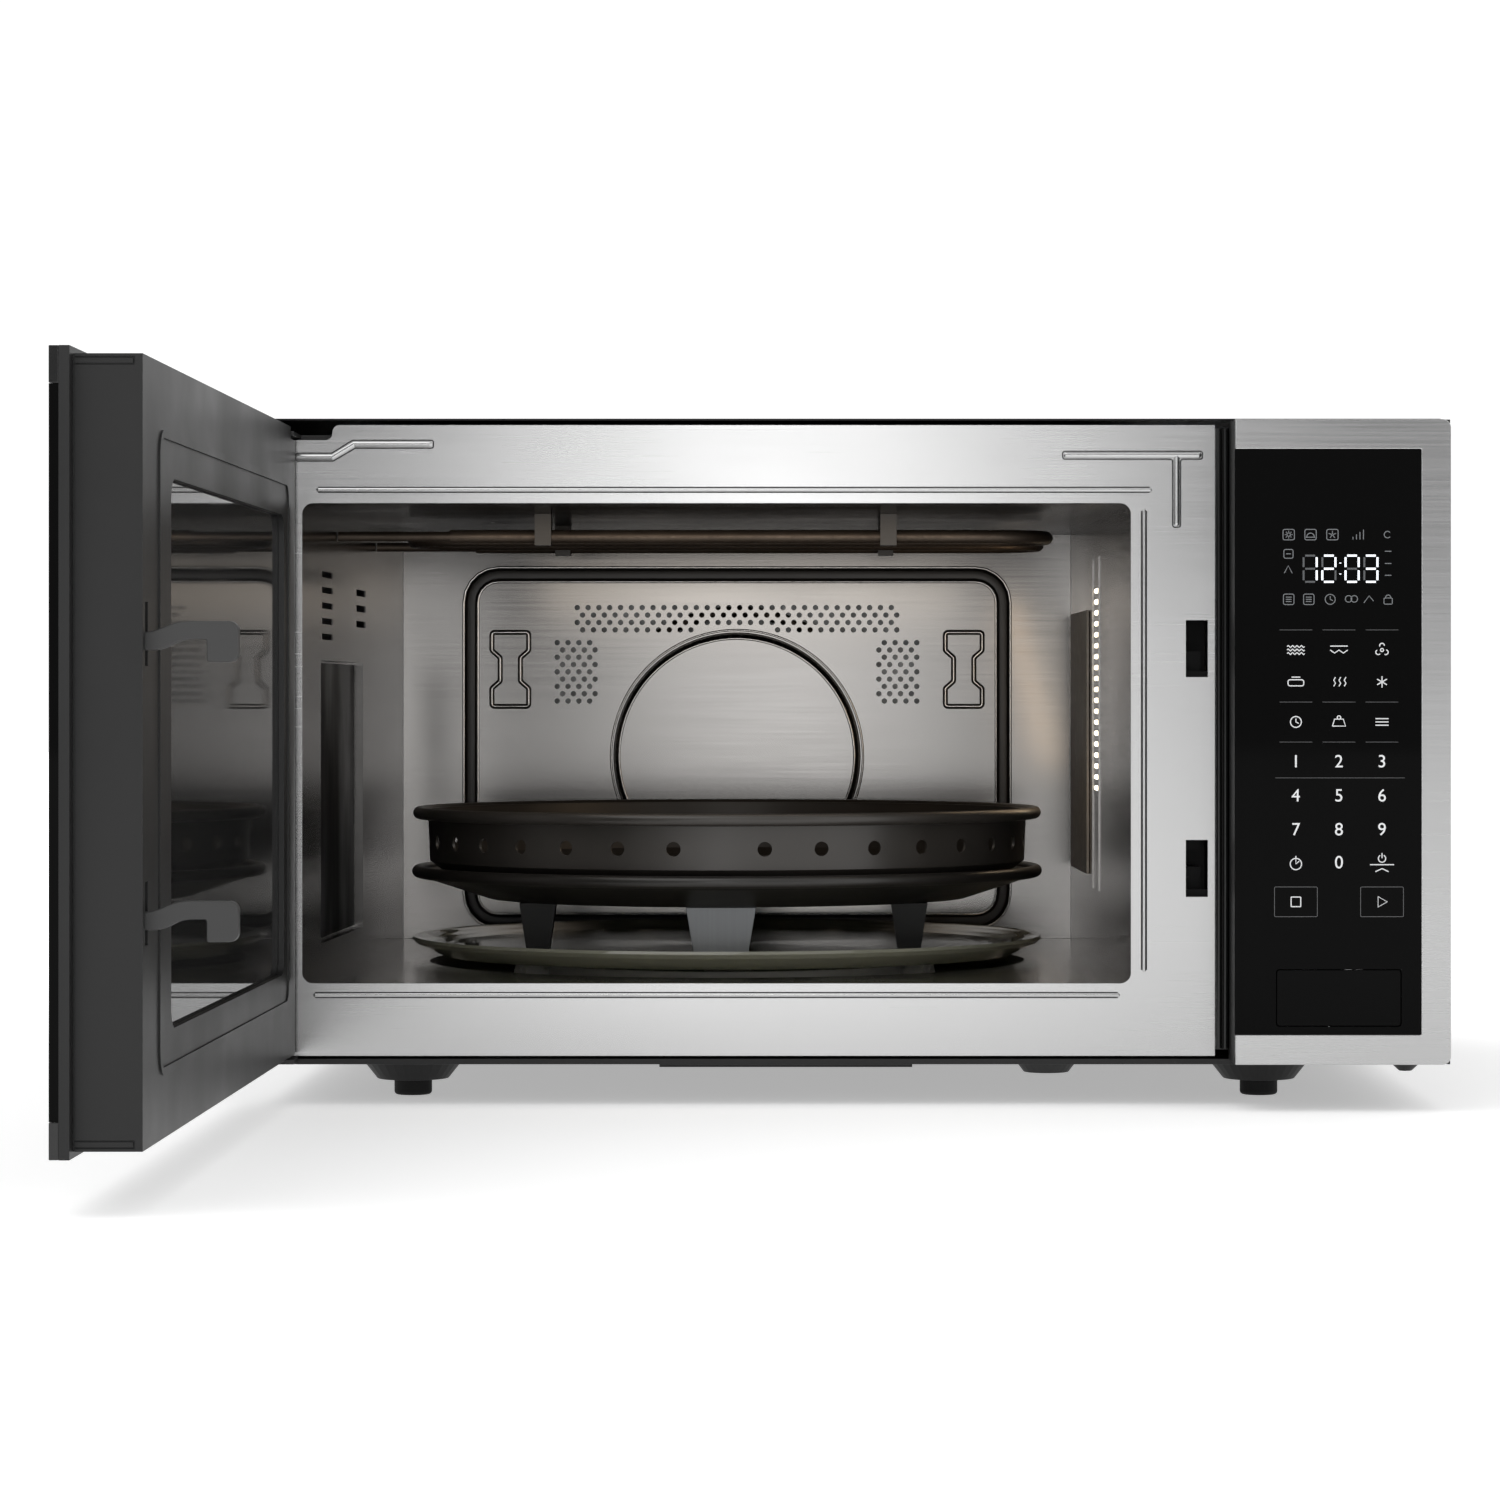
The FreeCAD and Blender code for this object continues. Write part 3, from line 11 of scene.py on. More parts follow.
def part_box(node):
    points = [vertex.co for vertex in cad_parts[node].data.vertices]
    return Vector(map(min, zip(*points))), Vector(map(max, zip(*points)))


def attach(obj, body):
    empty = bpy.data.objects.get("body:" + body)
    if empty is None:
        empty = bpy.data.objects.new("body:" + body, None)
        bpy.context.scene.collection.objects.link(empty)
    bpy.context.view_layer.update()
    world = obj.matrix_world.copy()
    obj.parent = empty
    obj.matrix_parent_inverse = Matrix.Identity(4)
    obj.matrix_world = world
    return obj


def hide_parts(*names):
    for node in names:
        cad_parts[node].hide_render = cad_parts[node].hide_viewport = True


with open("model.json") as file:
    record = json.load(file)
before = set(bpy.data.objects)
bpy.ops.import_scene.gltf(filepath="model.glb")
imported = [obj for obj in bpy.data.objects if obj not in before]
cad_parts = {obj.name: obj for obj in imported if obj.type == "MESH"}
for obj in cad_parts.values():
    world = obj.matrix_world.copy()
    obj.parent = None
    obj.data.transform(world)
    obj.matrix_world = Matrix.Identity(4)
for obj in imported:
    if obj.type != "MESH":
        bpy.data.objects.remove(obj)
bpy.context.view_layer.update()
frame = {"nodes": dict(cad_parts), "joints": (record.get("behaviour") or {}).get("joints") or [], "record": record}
MM = 0.001
SLOT_OF = {s["node"]: s["material_slot"] for s in frame["record"]["subparts"]}
BODY_OF = {n: b for b, members in frame["record"]["behaviour"]["bodies"].items() for n in members}


# ---------------------------------------------------------------- procedural finishes


class Look:
    """One procedural material: a Principled shader and the texture nodes that feed it."""

    def __init__(self, name, **numbers):
        self.material = bpy.data.materials.new(name)
        self.material.use_nodes = True
        self.nodes = self.material.node_tree.nodes
        self.links = self.material.node_tree.links
        self.shader = self.nodes["Principled BSDF"]
        self.place = self.nodes.new("ShaderNodeTexCoord").outputs["Object"]
        for title, value in numbers.items():
            self.shader.inputs[title.replace("_", " ")].default_value = value

    def join(self, value, socket):
        """Links an output to a socket, or sets the socket to a plain value."""
        if isinstance(value, bpy.types.NodeSocket):
            self.links.new(value, socket)
        elif isinstance(value, tuple) and len(value) == 3 and socket.type == "RGBA":
            socket.default_value = (*value, 1)
        else:
            socket.default_value = value

    def stretched(self, along, across, up):
        """The object's coordinates in metres, scaled by a factor for each axis."""
        node = self.nodes.new("ShaderNodeMapping")
        self.links.new(self.place, node.inputs["Vector"])
        node.inputs["Scale"].default_value = (along, across, up)
        return node.outputs["Vector"]

    def noise(self, scale, detail=2.0, vector=None, roughness=0.5):
        """Soft noise; the scale is cycles for each metre."""
        node = self.nodes.new("ShaderNodeTexNoise")
        self.links.new(vector or self.place, node.inputs["Vector"])
        node.inputs["Scale"].default_value = scale
        node.inputs["Detail"].default_value = detail
        node.inputs["Roughness"].default_value = roughness
        return node.outputs["Fac"]

    def cells(self, scale, output="Distance", randomness=1.0, vector=None):
        """Voronoi cells: the distance to a cell's centre, or a colour for each cell."""
        node = self.nodes.new("ShaderNodeTexVoronoi")
        self.links.new(vector or self.place, node.inputs["Vector"])
        node.inputs["Scale"].default_value = scale
        node.inputs["Randomness"].default_value = randomness
        return node.outputs[output]

    def between(self, factor, low, high, start=0.0, end=1.0):
        """low to high as the factor goes from start to end."""
        node = self.nodes.new("ShaderNodeMapRange")
        self.links.new(factor, node.inputs["Value"])
        for title, value in (("From Min", start), ("From Max", end), ("To Min", low), ("To Max", high)):
            node.inputs[title].default_value = value
        return node.outputs["Result"]

    def blend(self, factor, first, second):
        """The first colour at factor 0, and the second at 1."""
        node = self.nodes.new("ShaderNodeMix")
        node.data_type = "RGBA"
        colours = [socket for socket in node.inputs if socket.type == "RGBA"]
        self.join(factor, node.inputs["Factor"])
        self.join(first, colours[0])
        self.join(second, colours[1])
        return next(socket for socket in node.outputs if socket.type == "RGBA")

    def sum(self, first, second, operation="ADD"):
        """The sum, or another operation, of two values."""
        node = self.nodes.new("ShaderNodeMath")
        node.operation = operation
        self.join(first, node.inputs[0])
        self.join(second, node.inputs[1])
        return node.outputs["Value"]

    def apart(self):
        """The three object coordinates, in metres."""
        node = self.nodes.new("ShaderNodeSeparateXYZ")
        self.links.new(self.place, node.inputs["Vector"])
        return node.outputs

    def colour(self, value):
        self.join(value, self.shader.inputs["Base Color"])

    def roughness(self, value):
        self.join(value, self.shader.inputs["Roughness"])

    def relief(self, height, depth, strength=1.0):
        """Fine surface relief; depth is the height of a full step, in metres."""
        node = self.nodes.new("ShaderNodeBump")
        node.inputs["Strength"].default_value = strength
        node.inputs["Distance"].default_value = depth
        self.links.new(height, node.inputs["Height"])
        self.links.new(node.outputs["Normal"], self.shader.inputs["Normal"])


def grey(level, warmth=0.0):
    """A near-neutral linear colour, warmer above zero and cooler below."""
    return (level * (1 + warmth), level, level * (1 - warmth))


def brushed(name, level, spread, rough, grain, depth=1.5e-6, warmth=0.0):
    """Brushed steel: long fine scratches one way, and broad faint clouds of wear."""
    look = Look(name, Metallic=1.0)
    scratches = look.noise(1.0, 4.0, look.stretched(*grain), 0.6)
    clouds = look.noise(6.0, 2.0)
    tone = look.sum(look.between(scratches, 0.0, 0.7, 0.3, 0.7), look.between(clouds, 0.0, 0.3))
    dark, light = grey(level * (1 - spread), warmth), grey(level * (1 + spread), warmth)
    look.colour(look.blend(tone, dark, light))
    look.roughness(look.between(look.sum(scratches, clouds), rough - 0.03, rough + 0.04, 0.7, 1.3))
    if depth:
        look.relief(scratches, depth)
    return look


def oven_steel(name, level, spread, rough):
    """The cavity's sheet steel: fine level scratches, a trace of warmth and no relief."""
    return brushed(name, level, spread, rough, (12, 12, 1100), 0, 0.03)


def with_painted_shade(look):
    """The same steel with its edge-on shine taken down by a grey tint, as painted shade."""
    look.shader.inputs["Specular Tint"].default_value = (*grey(0.2), 1)
    return look


# level, spread, roughness, grain and depth of the stainless border and frame
BORDER_STEEL = (0.5, 0.04, 0.25, (7, 7, 1300), 0)


def edged_steel():
    """The door's stainless border, with its faces that turn neither to the front nor to the back made near-black
    and not metallic.
    """
    look = brushed("door_border", *BORDER_STEEL)
    # faces turned sideways, away from front and back, blend to near-black and lose their metal
    facing = look.nodes.new("ShaderNodeSeparateXYZ")
    look.links.new(look.place.node.outputs["Normal"], facing.inputs["Vector"])
    end = look.between(look.sum(facing.outputs["Y"], 0.0, "ABSOLUTE"), 0.0, 1.0, 0.5, 0.7)
    steel = look.shader.inputs["Base Color"].links[0].from_socket
    look.colour(look.blend(end, steel, grey(0.006)))
    look.join(look.between(end, 1.0, 0.0), look.shader.inputs["Metallic"])
    return look


def moulded(name, level, rough=0.45, grain=1400.0, depth=1.5e-5, warmth=0.0, **numbers):
    """Moulded plastic: an even fine spark texture with slight polish where hands rub."""
    look = Look(name, **numbers)
    grains = look.noise(grain, 2.0)
    clouds = look.noise(14.0, 3.0)
    look.colour(look.blend(clouds, grey(level * 0.86, warmth), grey(level * 1.14, warmth)))
    look.roughness(look.between(clouds, rough - 0.06, rough + 0.07, 0.25, 0.75))
    look.relief(grains, depth)
    return look


def coated(name, level, rough=0.42, warmth=0.0, peel=900.0, **numbers):
    """Powder-coated sheet: a faint orange-peel and small changes of gloss."""
    look = Look(name, **numbers)
    peels = look.cells(peel, "Distance")
    clouds = look.noise(6.0, 4.0)
    look.colour(look.blend(clouds, grey(level * 0.9, warmth), grey(level * 1.1, warmth)))
    look.roughness(look.between(look.noise(25.0, 3.0), rough - 0.015, rough + 0.015, 0.3, 0.7))
    look.relief(peels, 8e-6, 0.4)
    return look


def gloss(name, level, rough=0.05, specular=0.5, **numbers):
    """Gloss black surfaces: nearly a mirror, with faint smears and dust that show only in the gloss."""
    look = Look(name, Specular_IOR_Level=specular, **numbers)
    smears = look.noise(5.0, 5.0, look.stretched(3, 3, 1))
    dust = look.cells(700.0, "Distance")
    specks = look.between(dust, 1.0, 0.0, 0.0, 0.07)
    look.colour(look.blend(specks, grey(level), grey(level * 2.2 + 0.004)))
    look.roughness(look.between(smears, rough, rough * 2.4 + 0.02, 0.45, 0.75))
    return look


def zinc(name, dark, light):
    """Zinc-coated sheet with its crystal spangle."""
    look = Look(name, Metallic=1.0)
    spangle = look.cells(280.0, "Color")
    look.colour(look.blend(spangle, grey(dark, -0.02), grey(light, -0.02)))
    look.roughness(look.between(look.noise(90.0, 3.0), 0.36, 0.46, 0.3, 0.7))
    return look


def nonstick_coat(name, level):
    """Dark non-stick coat: fine pale flecks in warm near-black, satin, with a soft sheen."""
    look = Look(name, Metallic=0.2, Specular_IOR_Level=0.6)
    flecks = look.between(look.cells(1500.0, "Distance"), 1.0, 0.0, 0.02, 0.16)
    clouds = look.noise(22.0, 4.0)
    low, high, fleck = (grey(level * step, 0.12) for step in (0.032, 0.058, 0.095))
    look.colour(look.blend(flecks, look.blend(clouds, low, high), fleck))
    look.roughness(look.between(clouds, 0.3, 0.44, 0.3, 0.7))
    look.relief(look.noise(1100.0, 2.0), 1.2e-5)
    return look


def turntable_glass():
    """Clear tempered glass with the faint grey-green of its thickness and shallow pressed rings."""
    look = Look("clear_glass", Transmission_Weight=0.74, IOR=1.5)
    low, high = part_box("glass_turntable")
    centre = (low + high) / 2
    x, y, _ = look.apart()
    across = look.sum(x, -centre.x)
    along = look.sum(y, -centre.y)
    square = look.sum(look.sum(across, across, "MULTIPLY"), look.sum(along, along, "MULTIPLY"))
    radius = look.sum(square, 0.5, "POWER")
    rings = look.sum(look.sum(radius, 2 * math.pi / 0.006, "MULTIPLY"), 0.0, "SINE")
    look.relief(rings, 1.2e-4, 0.25)
    look.colour(look.blend(look.noise(30.0, 3.0), (0.6, 0.6, 0.46), (0.72, 0.71, 0.57)))
    look.roughness(look.between(look.noise(55.0, 4.0), 0.02, 0.08, 0.4, 0.75))
    return look


def tinted_window():
    """The door's inner window: dark tinted glass that lets only a trace of the screen behind through."""
    look = Look("window_glass", Transmission_Weight=0.3, IOR=1.5)
    smears = look.noise(7.0, 5.0)
    look.colour(look.blend(smears, grey(0.018), grey(0.026)))
    look.roughness(look.between(smears, 0.03, 0.08, 0.45, 0.8))
    return look


def perforated_enamel():
    """Black enamelled sheet with the regular rows of fine holes of a microwave screen."""
    look = Look("door_screen", Specular_IOR_Level=0.4)
    rows = look.cells(1 / 0.0022, "Distance", 0.0, look.stretched(0, 1, 1))
    holes = look.between(rows, 0.0, 1.0, 0.3, 0.36)
    clouds = look.noise(18.0, 3.0)
    sheet = look.blend(clouds, grey(0.03), grey(0.045))
    look.colour(look.blend(holes, grey(0.002), sheet))
    look.roughness(look.between(clouds, 0.35, 0.5))
    look.relief(holes, 2e-4, 0.8)
    return look


def mica_sheet():
    """Mica: flaky, warm grey-brown, with splits and small bright scales."""
    look = Look("mica", Specular_IOR_Level=0.55)
    flakes = look.cells(240.0, "Color")
    clouds = look.noise(28.0, 6.0)
    base = look.blend(clouds, (0.2, 0.17, 0.14), (0.42, 0.38, 0.33))
    look.colour(look.blend(look.between(flakes, 0.0, 0.5, 0.5, 1.0), base, (0.5, 0.46, 0.4)))
    look.roughness(look.between(clouds, 0.35, 0.6))
    look.relief(look.cells(240.0, "Distance"), 4e-5)
    return look


def circuit_board():
    """Green solder mask over pale tracks, with tinned pads."""
    look = Look("board", Specular_IOR_Level=0.5)
    tracks = look.between(look.cells(260.0, "Distance", 0.15), 0.0, 1.0, 0.34, 0.4)
    pads = look.between(look.cells(420.0, "Distance", 0.0), 1.0, 0.0, 0.12, 0.2)
    mask = look.blend(tracks, (0.02, 0.12, 0.05), (0.035, 0.2, 0.08))
    look.colour(look.blend(pads, mask, (0.5, 0.5, 0.48)))
    look.roughness(look.between(look.noise(200.0), 0.3, 0.5))
    look.relief(tracks, 3e-5)
    return look


def laminated_iron():
    """A varnished stack of core laminations, each a thin line, with copper-brown tint."""
    look = Look("iron", Metallic=0.6)
    _, y, _ = look.apart()
    lines = look.sum(look.sum(y, 2 * math.pi / 0.0012, "MULTIPLY"), 0.0, "SINE")
    stains = look.noise(40.0, 5.0)
    look.colour(look.blend(stains, (0.1, 0.075, 0.055), (0.24, 0.2, 0.17)))
    look.roughness(look.between(stains, 0.35, 0.6))
    look.relief(lines, 6e-5)
    return look


def heated_tube():
    """Heater sheath: dark oxidised steel with lighter brown patches."""
    look = Look("heater_sheath", Metallic=0.8)
    patches = look.noise(18.0, 5.0)
    scale = look.noise(500.0, 3.0)
    look.colour(look.blend(patches, (0.035, 0.026, 0.02), (0.12, 0.095, 0.075)))
    look.roughness(look.between(scale, 0.38, 0.6, 0.3, 0.7))
    look.relief(scale, 2e-5)
    return look


INK_LEVEL = 0.8


def glowing(name, colour, strength):
    """A lit or printed mark of one colour, that gives off light of that strength."""
    look = Look(name, Emission_Strength=strength)
    look.shader.inputs["Emission Color"].default_value = (*colour, 1)
    glowing_ink = look.noise(2500.0, 2.0)
    low, high = (tuple(c * INK_LEVEL * share for c in colour) for share in (0.85, 1.0))
    look.colour(look.blend(glowing_ink, low, high))
    look.roughness(look.between(glowing_ink, 0.4, 0.55))
    return look


LOOKS = {
    "case_paint": coated("case_paint", 0.007, 0.42, Specular_IOR_Level=0.25),
    "base_paint": coated("base_paint", 0.014, 0.45, Specular_IOR_Level=0.3),
    "stainless": brushed("stainless", *BORDER_STEEL),
    "cavity_steel": oven_steel("cavity_steel", 0.19, 0.08, 0.18),
    "galvanised": zinc("galvanised", 0.33, 0.42),
    "black_glass": gloss("black_glass", 0.0042, 0.03, 0.02),
    "window_glass": tinted_window(),
    "clear_glass": turntable_glass(),
    "door_plastic": moulded("door_plastic", 0.013, 0.38, Specular_IOR_Level=0.3),
    "panel_plastic": moulded("panel_plastic", 0.008, 0.5, Specular_IOR_Level=0.3),
    "strip_plastic": gloss("strip_plastic", 0.006, 0.16, 0.4),
    "latch_plastic": moulded("latch_plastic", 0.034, 0.46, Specular_IOR_Level=0.4),
    "button_gloss": gloss("button_gloss", 0.0042, 0.04, 0.025),
    "foot_rubber": moulded("foot_rubber", 0.006, 0.68, 900.0, 3e-5, Specular_IOR_Level=0.3),
    "nonstick": nonstick_coat("nonstick", 0.85),
    "clip_steel": brushed("clip_steel", 0.16, 0.1, 0.42, (600, 600, 12), 4e-6, -0.03),
    "heater_sheath": heated_tube(),
    "mica": mica_sheet(),
    "iron": laminated_iron(),
    "aluminium": brushed("aluminium", 0.7, 0.08, 0.34, (40, 40, 700)),
    "board": circuit_board(),
    "white_plastic": moulded("white_plastic", 0.62, 0.4, 900.0, 1e-5, 0.02),
    "display": gloss("display", 0.006, 0.12),
    "hinge_steel": coated("hinge_steel", 0.01, 0.38, 0.0, 700.0),
    "screw_steel": brushed("screw_steel", 0.12, 0.15, 0.38, (300, 300, 300)),
    "door_plastic_metal": perforated_enamel(),
    "leg_plastic": moulded("leg_plastic", 0.005, 0.45, Specular_IOR_Level=0.3),
}
OWN_LOOKS = {
    "door_trim": edged_steel(),
    # painted light: the cavity floor's steel made more than twice as light as the walls', as the floor is lit from
    # above
    "cavity_floor": oven_steel("floor_steel_painted_light", 0.42, 0.07, 0.18),
    # painted shade: the ceiling's and the grill brackets' steel made far darker than the walls', with their
    # edge-on reflection dimmed
    "cavity_ceiling": with_painted_shade(oven_steel("ceiling_steel_painted_shade", 0.02, 0.1, 0.24)),
    "grill_brackets": with_painted_shade(oven_steel("bracket_steel_painted_shade", 0.035, 0.1, 0.34)),
    "lower_tray": nonstick_coat("tray_coat", 0.4),
}


def look_of(node):
    """The finish of a CAD node: its own, or its slot's."""
    return OWN_LOOKS.get(node, LOOKS[SLOT_OF[node]])


for node, piece in frame["nodes"].items():
    piece.data.materials.clear()
    piece.data.materials.append(look_of(node).material)


# ---------------------------------------------------------------- making pieces


def add_piece(name, mesh, look, body):
    """Puts a mesh into the scene as a piece that rides on a body."""
    piece = bpy.data.objects.new(name, mesh)
    bpy.context.scene.collection.objects.link(piece)
    mesh.materials.clear()
    mesh.materials.append(look.material)
    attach(piece, body)
    return piece


def settled(piece):
    """Applies the piece's modifiers to its mesh."""
    bpy.context.view_layer.update()
    graph = bpy.context.evaluated_depsgraph_get()
    mesh = bpy.data.meshes.new_from_object(piece.evaluated_get(graph))
    piece.modifiers.clear()
    piece.data = mesh


def welded(node):
    """A copy of a CAD node's mesh with its faces joined into one skin and its flat faces made whole."""
    source = frame["nodes"][node].data
    mesh = bpy.data.meshes.new(node + "_skin")
    mesh.from_pydata([v.co for v in source.vertices], [], [tuple(p.vertices) for p in source.polygons])
    work = bmesh.new()
    work.from_mesh(mesh)
    bmesh.ops.remove_doubles(work, verts=work.verts, dist=1e-6)
    bmesh.ops.dissolve_limit(work, angle_limit=math.radians(0.3), verts=work.verts, edges=work.edges)
    work.to_mesh(mesh)
    work.free()
    return mesh


SHARP_ANGLE = 32


def refined(node, width):
    """A finer copy of a CAD node, with its sharp edges rounded to the given width in mm."""
    piece = add_piece(node + "_finish", welded(node), look_of(node), BODY_OF[node])
    edges = piece.modifiers.new("edges", "BEVEL")
    edges.width = width * MM
    edges.segments = 2
    edges.limit_method = "ANGLE"
    edges.angle_limit = math.radians(SHARP_ANGLE)
    edges.miter_outer = "MITER_ARC"
    edges.harden_normals = True
    settled(piece)
    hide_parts(node)


EDGE_WIDTHS = {
    "front_frame": 0.25,
    "control_trim": 0.4,
    "door_trim": 0.3,
    "door_frame": 0.4,
    "latch_hooks": 0.6,
    "base_plate": 0.3,
    "side_strip": 0.3,
    "tray_bracket": 0.25,
    "hinge_top": 0.3,
    "feet": 0.5,
    "door_button": 0.3,
}
for node, width in EDGE_WIDTHS.items():
    refined(node, width)


# ---------------------------------------------------------------- lit and printed marks


class Marks:
    """Raised, lit or printed lines, or strokes of painted shade and painted highlight, on an upright face, drawn
    in millimetres across and up.
    """

    def __init__(self, name, width):
        self.name = name
        self.curve = bpy.data.curves.new(name, "CURVE")
        self.curve.dimensions = "3D"
        self.curve.bevel_depth = width / 2
        self.curve.bevel_resolution = 1
        self.curve.use_fill_caps = True
        self.letters = []

    def line(self, *points, closed=False):
        """A line through the points, each across and up."""
        spline = self.curve.splines.new("POLY")
        spline.points.add(len(points) - 1)
        for spot, (x, z) in zip(spline.points, points):
            spot.co = (x, z, 0, 1)
        spline.use_cyclic_u = closed

    def arc(self, x, z, radius, start=0, sweep=360, steps=20):
        """A ring, or the part of one from a start angle; angles are in degrees."""
        whole = sweep == 360
        count = steps if whole else steps + 1
        angles = [math.radians(start + sweep * index / steps) for index in range(count)]
        self.line(*((x + radius * math.cos(a), z + radius * math.sin(a)) for a in angles), closed=whole)

    def box(self, left, low, right, high, rounding=0.6):
        """A rectangle with rounded corners."""
        self.line(*rounded([(left, low), (right, low), (right, high), (left, high)], rounding), closed=True)

    def star(self, x, z, inner, outer, count, turn=0):
        """Short rays round a point."""
        for index in range(count):
            angle = math.radians(turn + 360 * index / count)
            self.line(*((x + r * math.cos(angle), z + r * math.sin(angle)) for r in (inner, outer)))

    def text(self, words, x, z, size):
        """Plain letters or digits, centred on a point."""
        data = bpy.data.curves.new(self.name, "FONT")
        data.body = words
        data.size = size
        data.align_x = "CENTER"
        data.align_y = "CENTER"
        data.extrude = 0.1
        self.letters.append((data, x, z))

    def placed(self, look, y, thick, body, slot=None):
        """Flattens the lines to a thickness in mm, and stands them at a place y, in metres."""
        work = bmesh.new()
        drawn = [(self.curve, 0, 0)] if self.curve.splines else []
        for data, x, z in drawn + self.letters:
            source = bpy.data.objects.new(self.name, data)
            mesh = bpy.data.meshes.new_from_object(source)
            bpy.data.objects.remove(source)
            deepest = max(abs(v.co.z) for v in mesh.vertices)
            for v in mesh.vertices:
                v.co = ((v.co.x + x) * MM, y - v.co.z / deepest * thick / 2 * MM, (v.co.y + z) * MM)
            work.from_mesh(mesh)
        bmesh.ops.recalc_face_normals(work, faces=work.faces)
        whole = bpy.data.meshes.new(self.name)
        work.to_mesh(whole)
        work.free()
        return add_piece(self.name, whole, look, body)


CORNER_STEPS = 5


def rounded(corners, radius):
    """A closed outline with each corner replaced by a short arc."""
    outline = []
    for index, corner in enumerate(corners):
        spot = Vector(corner)
        before = (Vector(corners[index - 1]) - spot).normalized()
        after = (Vector(corners[(index + 1) % len(corners)]) - spot).normalized()
        half = before.angle(after) / 2
        reach = radius / math.tan(half)
        middle = spot + (before + after).normalized() * radius / math.sin(half)
        first = (spot + before * reach - middle).normalized()
        last = (spot + after * reach - middle).normalized()
        for step in range(CORNER_STEPS + 1):
            outline.append(tuple(middle + first.slerp(last, step / CORNER_STEPS) * radius))
    return outline


def mm(node):
    """A node's box in millimetres: its low corner and its high corner."""
    low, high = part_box(node)
    return Vector(low) / MM, Vector(high) / MM


GLASS_FRONT = mm("control_glass")[0].y
COLUMNS = (204.9, 224.6, 244.3)
DIGIT_ROWS = (160.6, 145.0, 129.5)
DIGIT_SIZE = 8.2
SEGMENTS = {"0": "abcdef", "1": "bc", "2": "abged", "3": "abgcd"}


def segment_digit(bright, dim, value, left, low, wide=6.0, tall=12.0):
    """A seven-segment digit: its lit bars, and its unlit ones faintly."""
    right, high, middle, gap = left + wide, low + tall, low + tall / 2, 0.75
    bars = {
        "a": ((left + gap, high), (right - gap, high)),
        "b": ((right, high - gap), (right, middle + gap)),
        "c": ((right, middle - gap), (right, low + gap)),
        "d": ((left + gap, low), (right - gap, low)),
        "e": ((left, middle - gap), (left, low + gap)),
        "f": ((left, high - gap), (left, middle + gap)),
        "g": ((left + gap, middle), (right - gap, middle)),
    }
    for bar, ends in bars.items():
        (bright if bar in SEGMENTS[value] else dim).line(*ends)


def display_marks():
    """The clock, and the dim symbols above, beside and below it."""
    bright, dim = Marks("clock_digits", 0.95), Marks("clock_unlit", 0.95)
    for value, left in zip("1203", (208.4, 217.0, 227.6, 236.2)):
        segment_digit(bright, dim, value, left, 243.0)
    colon, dot = 225.2, 0.2
    for height in (246.6, 251.6):
        bright.line((colon, height - dot), (colon, height + dot))
    icons = Marks("display_symbols", 0.4)
    # above the clock: light, heat, crisp, power bars, circulation
    row = 264.6
    light, heat, crisp, bars, circulation = 201.6, 211.6, 221.6, 231.0, 246.8
    for x in (light, heat, crisp):
        icons.box(x - 2.6, row - 2.4, x + 2.6, row + 2.4, 0.8)
    icons.arc(light, row, 0.8)
    icons.star(light, row, 1.2, 1.8, 8)
    icons.arc(heat, row - 1, 1.7, 0, 180, 10)
    icons.line((heat - 2.2, row - 1.2), (heat + 2.2, row - 1.2))
    icons.star(crisp, row, 0.2, 1.8, 5, 90)
    for step in range(4):
        x = bars + 1.6 * step
        icons.line((x, row - 2.2), (x, row - 1 + 1.1 * step))
    icons.arc(circulation, row, 1.5, 40, 280)
    # left of the clock: dish, peak; right of it: three dashes
    icons.box(199.4, 253.8, 203.6, 257.8, 0.8)
    icons.line((200.4, 255.8), (202.6, 255.8))
    icons.line((199.6, 247.0), (201.4, 250.4), (203.2, 247.0))
    for height in (257.0, 251.4, 246.0):
        icons.line((245.6, height), (248.6, height))
    # below the clock: two lists, timer, link, weight curve, lock
    row = 235.0
    timer, lock = 220.6, 247.1
    for x in (201.6, 210.8):
        icons.box(x - 2.4, row - 2.4, x + 2.4, row + 2.4, 0.8)
        for height in (row - 1, row, row + 1):
            icons.line((x - 1.3, height), (x + 1.3, height))
    icons.arc(timer, row, 2.3)
    icons.line((timer, row + 1.5), (timer, row), (timer + 1.2, row - 0.6))
    for x in (229.0, 231.6):
        icons.arc(x, row + 0.2, 1.5)
    icons.line((236.0, row - 1.6), (238.4, row + 1.6), (240.4, row - 0.8))
    icons.box(lock - 1.9, row - 2.2, lock + 1.9, row + 0.6, 0.5)
    icons.arc(lock, row + 0.8, 1.2, 0, 180, 8)
    return bright, dim, icons


